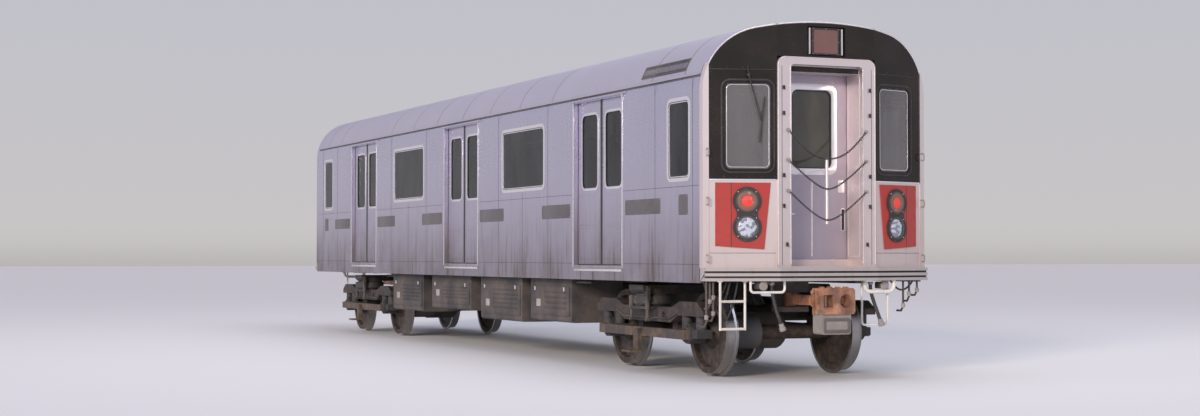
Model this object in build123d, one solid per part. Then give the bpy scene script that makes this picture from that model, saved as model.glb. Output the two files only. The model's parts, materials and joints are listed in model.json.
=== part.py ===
"""A stainless steel metro cab car with two bogies, six pairs of sliding side doors and a chained end doorway.

Millimetres, +Z up, the cab end towards -Y. The origin is on the ground line of the wheel flanges, below the
middle of the car.
"""

from math import asin, atan2, cos, pi, radians, sin, sqrt, tan
import os

from build123d import *

# Body envelope
BODY_WIDTH = 2620.0
BODY_HEIGHT = 3668.0
BODY_LENGTH = 15240.0
COUPLER_REACH = 205.0
FLOOR_Z = 1168.0
SILL_Z = 1000.0
CROWN_R = 4000.0
SHOULDER_R = 650.0
WALL = 130.0
ROOF_WALL = 90.0

# Heights above the floor and distances along the body are given for a car 2500 mm from floor to crown
# and 15240 mm long, where both scales are 1
HEIGHT_SCALE = (BODY_HEIGHT - FLOOR_Z) / 2500.0
LENGTH_SCALE = BODY_LENGTH / 15240.0


def level(height):
    """The z of a height above the floor, in proportion to the body's height."""
    return FLOOR_Z + height * HEIGHT_SCALE


def tall(height):
    """An upright size, in proportion to the body's height."""
    return height * HEIGHT_SCALE


def along(distance):
    """A distance along the car, in proportion to the body's length."""
    return distance * LENGTH_SCALE


EAVE_Z = level(1942.0)

# Running gear
FLANGE = 28.0
WHEEL_R = 432.0
WHEEL_WIDTH = 135.0
BACK_TO_BACK = 1360.0
AXLE_R = 78.0
JOURNAL_R = 62.0
AXLE_LENGTH = 2080.0
WHEELBASE = 2083.0
BOGIE_CENTRES = along(10973.0)

# Front end
PORTAL_WIDTH = 1150.0
PORTAL_TOP = level(2130.0)
PORTAL_CORNER_R = 90.0
PORTAL_POST = 155.0
PORTAL_PROUD = 14.0
RECESS = 300.0
SWEEP = 220.0
FACET_WALL = 64.0
MASK_BOTTOM = level(877.0)
MASK_HALF = 1250.0
ROOF_RIM = 14.0
POST_PROUD = 10.0
END_PLATE = 18.0

# Side doors and windows
DOOR_PITCH = along(4720.0)
DOORWAY_WIDTH = 1372.0
DOORWAY_TOP = level(1880.0)
LEAF_THICK = 35.0
LEAF_OUTER_X = 1250.0
LEAF_TRAVEL = 660.0
LEAF_TUCK = 25.0
LEAF_GAP = 3.0
POCKET_CLEAR = 6.0
WINDOW_LENGTH = along(1500.0)
WINDOW_HEIGHT = tall(810.0)
WINDOW_SILL_Z = level(910.0)
CAB_WINDOW = (along(6845.0), along(560.0), level(872.0), tall(870.0))
WINDOW_CORNER_R = 90.0
FRAME_BAND = 38.0
GLASS = 8.0

# Fits, and how far a cutting shape runs past what it cuts
SEAT_GAP = 0.3
RUN_GAP = 6.0
PAST = 20.0
CHANNEL_LIP = 4.0

HALF_WIDTH = BODY_WIDTH / 2
INNER_X = HALF_WIDTH - WALL
WHEEL_Z = FLANGE + WHEEL_R
BODY_FRONT = -BODY_LENGTH / 2
BODY_REAR = BODY_LENGTH / 2
PORTAL_HALF = PORTAL_WIDTH / 2
OPENING_HALF = PORTAL_HALF - PORTAL_POST
CORNER_Y = BODY_FRONT + SWEEP
CROWN_Z = BODY_HEIGHT - CROWN_R
SHOULDER_X = HALF_WIDTH - SHOULDER_R
SHOULDER_Z = CROWN_Z + sqrt((CROWN_R - SHOULDER_R) ** 2 - SHOULDER_X**2)
CROWN_HALF_ANGLE = atan2(SHOULDER_X, SHOULDER_Z - CROWN_Z)
FACET_ANGLE = atan2(SWEEP, HALF_WIDTH - PORTAL_HALF)
POCKET_TOP = EAVE_Z - 26.0
LEAF_TOP = POCKET_TOP - RUN_GAP
LEAF_FOOT = FLOOR_Z + 8.0
DOORWAYS = (-DOOR_PITCH, 0.0, DOOR_PITCH)
SIDES = (("right", -1), ("left", 1))


def block(x0, x1, y0, y1, z0, z1):
    """A box between two corners, given in any order."""
    size = (abs(x1 - x0), abs(y1 - y0), abs(z1 - z0))
    return Pos((x0 + x1) / 2, (y0 + y1) / 2, (z0 + z1) / 2) * Box(*size)


def both_sides(shape):
    """A shape and its mirror image across the car's centre plane."""
    return [shape, mirror(shape, about=Plane.YZ)]


def fused(shapes):
    """One shape from many."""
    first, *others = shapes
    return first.fuse(*others) if others else first


def rod(start, end, radius):
    """A round bar between two points."""
    run = Vector(*end) - Vector(*start)
    plane = Plane(origin=start, z_dir=run)
    return extrude(plane * Circle(radius), run.length)


def tube_path(points, radius, bend):
    """A round bar along straight runs with bends of one radius."""
    path = FilletPolyline(*points, radius=bend)
    section = Plane(origin=path @ 0, z_dir=path % 0) * Circle(radius)
    return sweep(section, path=path)


def prism(points, z0, z1):
    """An upright prism on a plan outline."""
    face = make_face(Polyline(*points, close=True))
    return extrude(Pos(0, 0, z0) * face, z1 - z0)


def along_car(face_points, y0, y1):
    """A prism along the car from points (x, z) of its section."""
    outline = Polyline(*[(x, y0, z) for x, z in face_points], close=True)
    return extrude(make_face(outline), y1 - y0, dir=(0, 1, 0))


def across_car(face_points, x0, x1):
    """A prism across the car from points (y, z) of its section."""
    outline = Polyline(*[(x0, y, z) for y, z in face_points], close=True)
    return extrude(make_face(outline), x1 - x0, dir=(1, 0, 0))


def shoulder_point(inset, angle):
    """A point (x, z) on the shoulder arc, inset from the skin."""
    radius = SHOULDER_R - inset
    return SHOULDER_X + radius * cos(angle), SHOULDER_Z + radius * sin(angle)


def crown_point(inset, angle):
    """A point (x, z) on the crown arc; the angle is from upright."""
    radius = CROWN_R - inset
    return radius * sin(angle), CROWN_Z + radius * cos(angle)


def arc_through(points, y):
    """A three-point arc in the section at y."""
    return ThreePointArc(*[(x, y, z) for x, z in points])


def section_line(points, y):
    """A straight line in the section at y."""
    (x0, z0), (x1, z1) = points
    return Line((x0, y, z0), (x1, y, z1))


def shoulder_arc(inset, start, end, side, y):
    """The shoulder arc between two angles on one side."""
    middle = (start + end) / 2
    points = [shoulder_point(inset, a) for a in (start, middle, end)]
    return arc_through([(side * x, z) for x, z in points], y)


def body_section(inset, y0, y1, bottom_z=SILL_Z):
    """The solid inside the body's outline, inset from the skin, from a level up."""
    top_angle = pi / 2 - CROWN_HALF_ANGLE
    crown = [crown_point(inset, a) for a in (CROWN_HALF_ANGLE, 0, -CROWN_HALF_ANGLE)]
    edge = HALF_WIDTH - inset
    lines = [
        section_line([(-edge, SILL_Z), (edge, SILL_Z)], y0),
        section_line([(edge, SILL_Z), (edge, SHOULDER_Z)], y0),
        shoulder_arc(inset, 0, top_angle, 1, y0),
        arc_through(crown, y0),
        shoulder_arc(inset, top_angle, 0, -1, y0),
        section_line([(-edge, SHOULDER_Z), (-edge, SILL_Z)], y0),
    ]
    section = extrude(make_face(lines), y1 - y0, dir=(0, 1, 0))
    if bottom_z > SILL_Z:
        section = section & block(-HALF_WIDTH, HALF_WIDTH, y0, y1, bottom_z, BODY_HEIGHT + 1)
    return section


def under_roof_z(x, inset):
    """The height of the body's outline, inset from the skin, at a distance from the centre line."""
    crown_edge = crown_point(inset, CROWN_HALF_ANGLE)[0]
    if abs(x) <= crown_edge:
        return CROWN_Z + sqrt((CROWN_R - inset) ** 2 - x**2)
    return SHOULDER_Z + sqrt((SHOULDER_R - inset) ** 2 - (abs(x) - SHOULDER_X) ** 2)


def skin_x(z):
    """The distance of the shoulder's skin from the centre line at a height."""
    return SHOULDER_X + sqrt(SHOULDER_R**2 - (z - SHOULDER_Z) ** 2)


def rain_channel(side, base, size, y0, y1):
    """A rain channel along the shoulder, open upwards, its root let into the skin."""
    inset, reach, rise, thick = size
    root, outer = skin_x(base) - inset, skin_x(base) + reach
    inner = outer - CHANNEL_LIP
    lip = [(root, 0), (outer, 0), (outer, rise), (inner, rise), (inner, thick), (root, thick)]
    return along_car([(side * x, base + z) for x, z in lip], y0, y1)


def plan_outline(front_shift, y_rear, z0, z1):
    """The body's plan with its three-faceted front, as a prism."""
    front, corner = BODY_FRONT + front_shift, CORNER_Y + front_shift
    points = [
        (-PORTAL_HALF, front),
        (PORTAL_HALF, front),
        (HALF_WIDTH, corner),
        (HALF_WIDTH, y_rear),
        (-HALF_WIDTH, y_rear),
        (-HALF_WIDTH, corner),
    ]
    return prism(points, z0, z1)


def side_leaf_y(centre, way, opened):
    """The near and far edge of a side door leaf; way is -1 for the leaf that opens towards the cab."""
    leading = centre + way * (LEAF_GAP + opened)
    trailing = centre + way * (DOORWAY_WIDTH / 2 + LEAF_TUCK + opened)
    return leading, trailing


def facet_plane(proud=0.0):
    """The left front facet's plane: local x runs outwards along it, local y is up."""
    u = (cos(FACET_ANGLE), sin(FACET_ANGLE), 0)
    n = (sin(FACET_ANGLE), -cos(FACET_ANGLE), 0)
    origin = (PORTAL_HALF + n[0] * proud, BODY_FRONT + n[1] * proud, 0)
    return Plane(origin=origin, x_dir=u, z_dir=n)


def on_facet(x):
    """The distance along the facet of a place x from the car's centre line."""
    return (x - PORTAL_HALF) / cos(FACET_ANGLE)


def rounded_on_facet(x0, x1, z0, z1, corner, proud, depth):
    """A rounded plate on the left facet, its outer face proud of it, and depth thick."""
    s0, s1 = on_facet(x0), on_facet(x1)
    sketch = Pos((s0 + s1) / 2, (z0 + z1) / 2) * RectangleRounded(s1 - s0, z1 - z0, corner)
    return extrude(facet_plane(proud) * sketch, -depth)


def rounded_on_side(side, y0, y1, z0, z1, corner, x_outer, depth):
    """A rounded plate upright along the car's side, its outer face at x_outer."""
    plane = Plane(origin=(side * x_outer, 0, 0), x_dir=(0, side, 0), z_dir=(side, 0, 0))
    ya, yb = sorted((side * y0, side * y1))
    sketch = Pos((ya + yb) / 2, (z0 + z1) / 2) * RectangleRounded(yb - ya, z1 - z0, corner)
    return extrude(plane * sketch, -depth)


def rounded_on_end(x0, x1, z0, z1, corner, y_outer, depth):
    """A rounded plate upright across the car, its outer face at y_outer, depth towards +Y."""
    plane = Plane(origin=(0, y_outer, 0), x_dir=(1, 0, 0), z_dir=(0, -1, 0))
    sketch = Pos((x0 + x1) / 2, (z0 + z1) / 2) * RectangleRounded(x1 - x0, z1 - z0, corner)
    return extrude(plane * sketch, -depth)


# Side walls: one solid a side, with doorways, leaf pockets and windows cut
THRESHOLD_RIBS = (13.0, 28.0, 43.0)
THRESHOLD_RIB = 10.0
THRESHOLD_PROUD = 8.0
DRIP_RAIL = (12.0, 14.0, 22.0, 5.0)
DRIP_RAIL_Z = DOORWAY_TOP + 14.0
DRIP_RAIL_LAP = 110.0
FRAME_DEPTH = 30.0
GLASS_SET = 12.0
SIDE_WINDOWS = (
    # centre y, length, sill z, height
    (-DOOR_PITCH / 2, WINDOW_LENGTH, WINDOW_SILL_Z, WINDOW_HEIGHT),
    (DOOR_PITCH / 2, WINDOW_LENGTH, WINDOW_SILL_Z, WINDOW_HEIGHT),
    (-CAB_WINDOW[0], *CAB_WINDOW[1:]),
    CAB_WINDOW,
)


def side_wall(side):
    """The wall of one side, from the sill to the eave."""
    eave_angle = asin((EAVE_Z - SHOULDER_Z) / SHOULDER_R)
    inner_angle = asin((EAVE_Z - SHOULDER_Z) / (SHOULDER_R - WALL))
    start = CORNER_Y + FACET_WALL + SEAT_GAP
    outer_top = shoulder_point(0, eave_angle)
    inner_top = shoulder_point(WALL, inner_angle)
    lines = [
        section_line([(side * INNER_X, SILL_Z), (side * HALF_WIDTH, SILL_Z)], start),
        section_line([(side * HALF_WIDTH, SILL_Z), (side * HALF_WIDTH, SHOULDER_Z)], start),
        shoulder_arc(0, 0, eave_angle, side, start),
        section_line([(side * outer_top[0], EAVE_Z), (side * inner_top[0], EAVE_Z)], start),
        shoulder_arc(WALL, inner_angle, 0, side, start),
        section_line([(side * INNER_X, SHOULDER_Z), (side * INNER_X, SILL_Z)], start),
    ]
    wall = extrude(make_face(lines), BODY_REAR - WALL - SEAT_GAP - start, dir=(0, 1, 0))
    pocket_x = (LEAF_OUTER_X - LEAF_THICK - POCKET_CLEAR, LEAF_OUTER_X + POCKET_CLEAR)
    pocket_half = DOORWAY_WIDTH / 2 + LEAF_TUCK + LEAF_TRAVEL + 2 * RUN_GAP
    cuts = []
    for centre in DOORWAYS:
        half = DOORWAY_WIDTH / 2
        cuts.append(
            block(side * INNER_X / 2, side * (HALF_WIDTH + PAST), centre - half, centre + half, FLOOR_Z, DOORWAY_TOP)
        )
        pocket = block(pocket_x[0], pocket_x[1], centre - pocket_half, centre + pocket_half, FLOOR_Z, POCKET_TOP)
        cuts.append(pocket if side > 0 else mirror(pocket, about=Plane.YZ))
    for centre, length, sill, height in SIDE_WINDOWS:
        ends = (centre - length / 2, centre + length / 2)
        cuts.append(
            rounded_on_side(side, *ends, sill, sill + height, WINDOW_CORNER_R, HALF_WIDTH + PAST, WALL + 3 * PAST)
        )
    wall = wall.cut(*cuts)
    half = DOORWAY_WIDTH / 2
    fittings = []
    for centre in DOORWAYS:
        ends = (centre - half, centre + half)
        for drop in THRESHOLD_RIBS:
            base = FLOOR_Z - drop
            xs = (side * (HALF_WIDTH - 1), side * (HALF_WIDTH + THRESHOLD_PROUD))
            fittings.append(block(*xs, *ends, base, base + THRESHOLD_RIB))
        rail_ends = (ends[0] - DRIP_RAIL_LAP, ends[1] + DRIP_RAIL_LAP)
        fittings.append(rain_channel(side, DRIP_RAIL_Z, DRIP_RAIL, *rail_ends))
    return fused([wall, *fittings])


def window_frame(side, centre, length, sill, height):
    """A bright frame set flush in a side window's opening."""
    ends = (centre - length / 2, centre + length / 2)
    ring = rounded_on_side(side, *ends, sill, sill + height, WINDOW_CORNER_R, HALF_WIDTH, FRAME_DEPTH)
    inner = (ends[0] + FRAME_BAND, ends[1] - FRAME_BAND, sill + FRAME_BAND, sill + height - FRAME_BAND)
    return ring - rounded_on_side(side, *inner, WINDOW_CORNER_R - FRAME_BAND, HALF_WIDTH + 1, FRAME_DEPTH + 2)


def side_glass(side, centre, length, sill, height):
    """The pane behind a side window's frame."""
    inner = (
        centre - length / 2 + FRAME_BAND + SEAT_GAP,
        centre + length / 2 - FRAME_BAND - SEAT_GAP,
        sill + FRAME_BAND + SEAT_GAP,
        sill + height - FRAME_BAND - SEAT_GAP,
    )
    corner = WINDOW_CORNER_R - FRAME_BAND - SEAT_GAP
    return rounded_on_side(side, *inner, corner, HALF_WIDTH - GLASS_SET, GLASS)


# Roof and gutters
ROOF_UNITS = ((-DOOR_PITCH, along(2600.0)), (DOOR_PITCH, along(2600.0)))
UNIT_HALF = 560.0
UNIT_DEPTH = 118.0
UNIT_PROUD = 4.0
SLOT_PITCH = 160.0
SLOT_WIDTH = 70.0
SLOT_DEPTH = 70.0
SLOT_X = (90.0, 470.0)
GUTTER = (10.0, 16.0, 20.0, 4.0)


def roof_shell():
    """The arched roof between the eaves, cut to the front's plan, with wells for the ventilation units."""
    behind = FACET_WALL + SEAT_GAP
    y0 = BODY_FRONT
    base = EAVE_Z + SEAT_GAP
    outer = body_section(0, y0, BODY_REAR - WALL - SEAT_GAP, base)
    shell = outer - body_section(ROOF_WALL, y0 - 1, BODY_REAR)
    shell = shell & plan_outline(behind, BODY_REAR, EAVE_Z, BODY_HEIGHT + 1)
    rim = body_section(0, y0, CORNER_Y + behind, base)
    rim = rim - body_section(ROOF_RIM, y0 - 1, CORNER_Y + behind + 1)
    rim = rim & plan_outline(0, CORNER_Y + behind, EAVE_Z, BODY_HEIGHT + 1)
    shell = shell + rim
    post_x, post_y = MASK_HALF - 2 * SEAT_GAP, CORNER_Y + behind + 12
    for corner in both_sides(block(post_x, HALF_WIDTH + 1, y0, post_y, EAVE_Z, POST_TOP_Z + SEAT_GAP)):
        shell = shell - corner
    for side in (-1, 1):
        shell = shell + rain_channel(side, base, GUTTER, post_y + 1, BODY_REAR - WALL - SEAT_GAP)
    wells = []
    for centre, length in ROOF_UNITS:
        ends = (centre - length / 2 - SEAT_GAP, centre + length / 2 + SEAT_GAP)
        half = UNIT_HALF + SEAT_GAP
        wells.append(block(-half, half, *ends, BODY_HEIGHT - UNIT_DEPTH - 3 * PAST, BODY_HEIGHT + PAST))
    return shell.cut(*wells)


def roof_unit(centre, length):
    """A ventilation unit let into the crown, its louvred lid following the arch."""
    ends = (centre - length / 2, centre + length / 2)
    unit = body_section(-UNIT_PROUD, *ends)
    unit = unit & block(-UNIT_HALF, UNIT_HALF, *ends, BODY_HEIGHT - UNIT_DEPTH, BODY_HEIGHT + UNIT_PROUD + 1)
    slots = []
    count = int(length / SLOT_PITCH) - 1
    for i in range(count):
        y = centre + (i - (count - 1) / 2) * SLOT_PITCH
        ys = (y - SLOT_WIDTH / 2, y + SLOT_WIDTH / 2)
        slots += both_sides(block(*SLOT_X, *ys, BODY_HEIGHT - SLOT_DEPTH, BODY_HEIGHT + PAST))
    return unit.cut(*slots)


# Front end
LINTEL = 78.0
HEADER_DROP = 70.0
THRESHOLD_RISE = 62.0
THRESHOLD_DEPTH = 60.0
POST_SHEET = (24.0, 10.0)
POST_HOLLOW_START = 60.0
POST_GROOVE = (525.0, 6.0, 4.0)
MASK_SEAM_Z = level(1990.0)
WINDSHIELD = (612.0, 1112.0, level(957.0), level(1877.0))
WINDSHIELD_CORNER_R = 80.0
WINDSHIELD_FRAME = 26.0
LAMP_X = 874.0
TAIL_LAMP_Z = level(658.0)
HEAD_LAMP_Z = level(394.0)
LAMP_R = tall(118.0)
BEZEL_BAND = 28.0
LAMP_PANEL = ((1185.0, level(844.0)), (640.0, level(844.0)), (706.0, level(172.0)), (1185.0, level(204.0)))
LAMP_PANEL_FOLD_X = 1030.0
LAMP_PANEL_PROUD = 12.0
SIGN_Z = level(2300.0)
SIGN_SIZE = (310.0, tall(268.0))
SIGN_WELL = (450.0, tall(300.0), 40.0)
POST_TOP_Z = level(2062.0)


def facet_band(front_shift, x0, x1, z0, z1, thick):
    """An upright band of the left facet between two distances from the centre line."""
    slope = SWEEP / (HALF_WIDTH - PORTAL_HALF)
    ys = [BODY_FRONT + front_shift + (x - PORTAL_HALF) * slope for x in (x0, x1)]
    points = [(x0, ys[0]), (x1, ys[1]), (x1, ys[1] + thick), (x0, ys[0] + thick)]
    return prism(points, z0, z1)


def portal():
    """The bright door portal: face frame, recess walls, header and threshold."""
    face_y = BODY_FRONT - PORTAL_PROUD
    door_y = BODY_FRONT + RECESS
    outer = rounded_on_end(
        -PORTAL_HALF, PORTAL_HALF, FLOOR_Z - 200, PORTAL_TOP, PORTAL_CORNER_R, face_y, RECESS + PORTAL_PROUD
    )
    outer = outer & block(-PORTAL_HALF, PORTAL_HALF, face_y, door_y, FLOOR_Z, PORTAL_TOP)
    hole = rounded_on_end(
        -OPENING_HALF, OPENING_HALF, FLOOR_Z - 200, PORTAL_TOP - LINTEL, 40.0, face_y - 1, RECESS + PORTAL_PROUD + 2
    )
    frame = outer - hole
    inner_sheet, outer_sheet = POST_SHEET
    hollow_y = (BODY_FRONT + POST_HOLLOW_START, door_y + 1)
    xs = (OPENING_HALF + inner_sheet, PORTAL_HALF - outer_sheet)
    hollows = both_sides(block(*xs, *hollow_y, FLOOR_Z - 1, PORTAL_TOP - LINTEL))
    x, width, depth = POST_GROOVE
    ys = (face_y - 1, face_y + depth)
    grooves = both_sides(block(x - width / 2, x + width / 2, *ys, FLOOR_Z - 1, PORTAL_TOP - PORTAL_CORNER_R))
    frame = frame.cut(*hollows, *grooves)
    header_z = (PORTAL_TOP - LINTEL - HEADER_DROP, PORTAL_TOP - LINTEL + 1)
    header = block(-OPENING_HALF, OPENING_HALF, BODY_FRONT + POST_HOLLOW_START, door_y, *header_z)
    threshold = block(
        -OPENING_HALF, OPENING_HALF, door_y - THRESHOLD_DEPTH, door_y, FLOOR_Z, FLOOR_Z + THRESHOLD_RISE
    )
    return frame + header + threshold


def front_end_frame():
    """The stainless front: portal, lower panels, corner posts and the floor-level end sill."""
    pieces = [portal()]
    for band in (
        facet_band(0, PORTAL_HALF, MASK_HALF, FLOOR_Z, MASK_BOTTOM, FACET_WALL),
        facet_band(-POST_PROUD, MASK_HALF, HALF_WIDTH, FLOOR_Z - END_PLATE, POST_TOP_Z, FACET_WALL + POST_PROUD),
    ):
        pieces += both_sides(band)
    frame = fused(pieces)
    frame = frame & body_section(0, BODY_FRONT - 2 * POST_PROUD, CORNER_Y + 100)
    plate = plan_outline(-2 * POST_PROUD, CORNER_Y + FACET_WALL, FLOOR_Z - END_PLATE, FLOOR_Z)
    return frame + plate


def front_mask():
    """The dark mask: two side facets with windshield openings, and the brow over the portal."""
    inner_x = PORTAL_HALF + SEAT_GAP
    centre = block(-inner_x, inner_x, BODY_FRONT, BODY_FRONT + FACET_WALL, PORTAL_TOP + SEAT_GAP, BODY_HEIGHT)
    side = facet_band(0, inner_x, HALF_WIDTH, MASK_BOTTOM + SEAT_GAP, BODY_HEIGHT, FACET_WALL)
    post = block(
        MASK_HALF - SEAT_GAP, HALF_WIDTH + 1, BODY_FRONT, CORNER_Y + 200, SILL_Z, POST_TOP_Z + SEAT_GAP
    )
    side = side - post
    side = side - rounded_on_facet(*WINDSHIELD, WINDSHIELD_CORNER_R, 5, FACET_WALL + 20)
    groove = facet_band(-1, PORTAL_HALF - 1, HALF_WIDTH, MASK_SEAM_Z - 4, MASK_SEAM_Z + 4, 7)
    side = side - groove
    mask = fused([centre, *both_sides(side)])
    width, height, depth = SIGN_WELL
    well = block(-width / 2, width / 2, BODY_FRONT - 1, BODY_FRONT + depth, SIGN_Z - height / 2, SIGN_Z + height / 2)
    mask = mask - well
    return mask & body_section(ROOF_RIM + SEAT_GAP, BODY_FRONT - 1, CORNER_Y + 200)


def windshield_frame():
    """The frame round the left windshield."""
    x0, x1, z0, z1 = WINDSHIELD
    gap, band = SEAT_GAP, WINDSHIELD_FRAME
    ring = rounded_on_facet(x0 + gap, x1 - gap, z0 + gap, z1 - gap, WINDSHIELD_CORNER_R - gap, 8, 40)
    hole = rounded_on_facet(x0 + band, x1 - band, z0 + band, z1 - band, WINDSHIELD_CORNER_R - band, 9, 42)
    return ring - hole


def windshield_glass():
    """The left windshield's pane."""
    x0, x1, z0, z1 = WINDSHIELD
    band = WINDSHIELD_FRAME + SEAT_GAP
    return rounded_on_facet(
        x0 + band, x1 - band, z0 + band, z1 - band, WINDSHIELD_CORNER_R - band, -8, GLASS + 4
    )


def lamp_panel():
    """The left red lamp panel: a trapezoid plate with a folded outer strip and the bezel's hole."""
    plate, proud = 16.0, LAMP_PANEL_PROUD
    (xa, za), (xb, zb), (xc, zc), (xd, zd) = LAMP_PANEL
    outline = [(on_facet(x), z) for x, z in LAMP_PANEL]
    panel = extrude(facet_plane(proud + SEAT_GAP) * make_face(Polyline(*outline, close=True)), -proud)
    s_fold, s_edge = on_facet(LAMP_PANEL_FOLD_X), on_facet(xa)
    wedge = make_face(
        Polyline((s_fold, 0), (s_edge + 1, 0), (s_edge + 1, -proud + 4), (s_fold, 0 - 1e-3), close=True)
    )
    base = facet_plane(proud + SEAT_GAP + 1e-3)
    slope_plane = Plane(origin=base.origin + Vector(0, 0, zc - 40), x_dir=base.x_dir, z_dir=(0, 0, 1))
    wedge = extrude(slope_plane * wedge.mirror(Plane.XZ), za - zc + 80)
    hole = lamp_outline(LAMP_R + BEZEL_BAND + SEAT_GAP, proud + 2, plate + 8)
    return panel - wedge - hole


def lamp_outline(radius, proud, depth):
    """The figure of two joined discs round the tail lamp and the headlamp."""
    plane = facet_plane(proud)
    s = on_facet(LAMP_X)
    discs = Pos(s, TAIL_LAMP_Z) * Circle(radius) + Pos(s, HEAD_LAMP_Z) * Circle(radius)
    waist = Pos(s, (TAIL_LAMP_Z + HEAD_LAMP_Z) / 2) * Rectangle(1.45 * radius, 160)
    return extrude(plane * (discs + waist), -depth)


def lamp_bezel():
    """The black figure-of-eight bezel with two lamp seats."""
    bezel = lamp_outline(LAMP_R + BEZEL_BAND, 26, 26 - SEAT_GAP)
    s = on_facet(LAMP_X)
    for z in (TAIL_LAMP_Z, HEAD_LAMP_Z):
        bezel = bezel - extrude(facet_plane(27) * (Pos(s, z) * Circle(LAMP_R)), -22)
    return bezel


def lamp(z):
    """A sealed lamp with a domed lens."""
    s = on_facet(LAMP_X)
    radius = LAMP_R - SEAT_GAP
    body = extrude(facet_plane(18) * (Pos(s, z) * Circle(radius)), -12.5)
    dome_rise = 14.0
    sphere_r = (radius**2 + dome_rise**2) / (2 * dome_rise)
    plane = facet_plane(18 + dome_rise - sphere_r)
    centre = plane.origin + plane.x_dir * s + Vector(0, 0, z)
    ball = Pos(*centre) * Sphere(sphere_r)
    cap = extrude(facet_plane(18 + dome_rise + 1) * (Pos(s, z) * Circle(radius)), -dome_rise - 1)
    return body + (ball & cap)


WIPER_Z = level(1932.0)


def wiper():
    """The wiper of the operator's windshield: pivot, arm and blade."""
    plane = facet_plane(0)

    def at(x, z, proud):
        s = on_facet(x)
        p = plane.origin + plane.x_dir * s + plane.z_dir * proud
        return (p.X, p.Y, z)

    pivot = rod(at(860, WIPER_Z, SEAT_GAP), at(860, WIPER_Z, 46), 16)
    arm = rod(at(860, WIPER_Z, 40), at(740, WIPER_Z - tall(460), 34), 7)
    blade = rod(at(700, WIPER_Z - tall(220), 24), at(752, WIPER_Z - tall(680), 24), 8)
    bridge = rod(at(740, WIPER_Z - tall(460), 34), at(727, WIPER_Z - tall(455), 24), 6)
    stub = rod(at(860, WIPER_Z, 40), at(872, WIPER_Z + tall(95), 40), 5)
    return mirror(fused([pivot, arm, bridge, blade, stub]), about=Plane.YZ)


def destination_sign():
    """The blank destination sign in its well, with a bright strip each side."""
    width, height = SIGN_SIZE
    well_w, well_h, well_d = SIGN_WELL
    back = BODY_FRONT + well_d - SEAT_GAP
    panel = block(-width / 2, width / 2, BODY_FRONT + 12, back, SIGN_Z - height / 2, SIGN_Z + height / 2)
    strip = block(width / 2 + 28, width / 2 + 42, BODY_FRONT + 6, back, SIGN_Z - height / 2, SIGN_Z + height / 2)
    return [panel, *both_sides(strip)]


ANTICLIMBER = (1019.0, 1150.0)
ANTICLIMBER_FACE = BODY_REAR + 70.0
ANTICLIMBER_BACK = BODY_REAR - 50.0
RIBS = ((0.0, 30.0), (50.0, 30.0), (101.0, 30.0))
RIB_DEPTH = 24.0


def end_outline(y_centre, sweep, y_back, z0, z1, half=HALF_WIDTH):
    """A prism across the rear end whose face is straight at the middle and sweeps forward to its corners."""
    corner = y_centre - sweep * (half - PORTAL_HALF) / (HALF_WIDTH - PORTAL_HALF)
    points = [(-half, y_back - sweep), (-half, corner), (-PORTAL_HALF, y_centre), (PORTAL_HALF, y_centre)]
    points += [(half, corner), (half, y_back - sweep)]
    if sweep:
        points += [(PORTAL_HALF, y_back), (-PORTAL_HALF, y_back)]
    return prism(points, z0, z1)


def anticlimber(end):
    """A ribbed anticlimber bar right across one end, swept like the front's facets; end is -1 at the cab."""
    z0, z1 = ANTICLIMBER
    root = ANTICLIMBER_FACE - RIB_DEPTH
    sweep = SWEEP if end < 0 else 0.0
    back = ANTICLIMBER_BACK + SEAT_GAP
    bar = end_outline(root, sweep, back, z0, z1 - SEAT_GAP)
    ribs = []
    for base, rib in RIBS:
        top = min(z0 + base + rib, z1 - SEAT_GAP)
        ribs.append(end_outline(ANTICLIMBER_FACE, sweep, back, z0 + base, top))
    bar = fused([bar, *ribs])
    return bar if end > 0 else mirror(bar, about=Plane.XZ)


BRACKET_HEIGHTS = (level(1185.0), level(692.0), level(115.0))


def corner_brackets():
    """Three bent grab brackets on each corner post."""
    radius, bend, reach, tall = 7.0, 14.0, 46.0, 70.0
    x = HALF_WIDTH - 38
    y = BODY_FRONT - POST_PROUD + (x - radius - PORTAL_HALF) * tan(FACET_ANGLE) - SEAT_GAP
    pieces = []
    for z in BRACKET_HEIGHTS:
        points = [(x, y, z), (x, y - reach, z), (x, y - reach, z - tall), (x, y, z - tall)]
        pieces += both_sides(tube_path(points, radius, bend))
    return pieces


# Rear end and end doors
END_DOOR_TRAVEL = 695.0
END_DOOR_HALF = OPENING_HALF + 20.0
END_DOOR_TOP = PORTAL_TOP - 130.0
END_DOOR_WINDOW = (-302.0, 302.0, level(945.0), level(1894.0))
FRONT_DOOR_Y = BODY_FRONT + RECESS + RUN_GAP
REAR_DOOR_Y = BODY_REAR - 48.0 - LEAF_THICK


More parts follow.
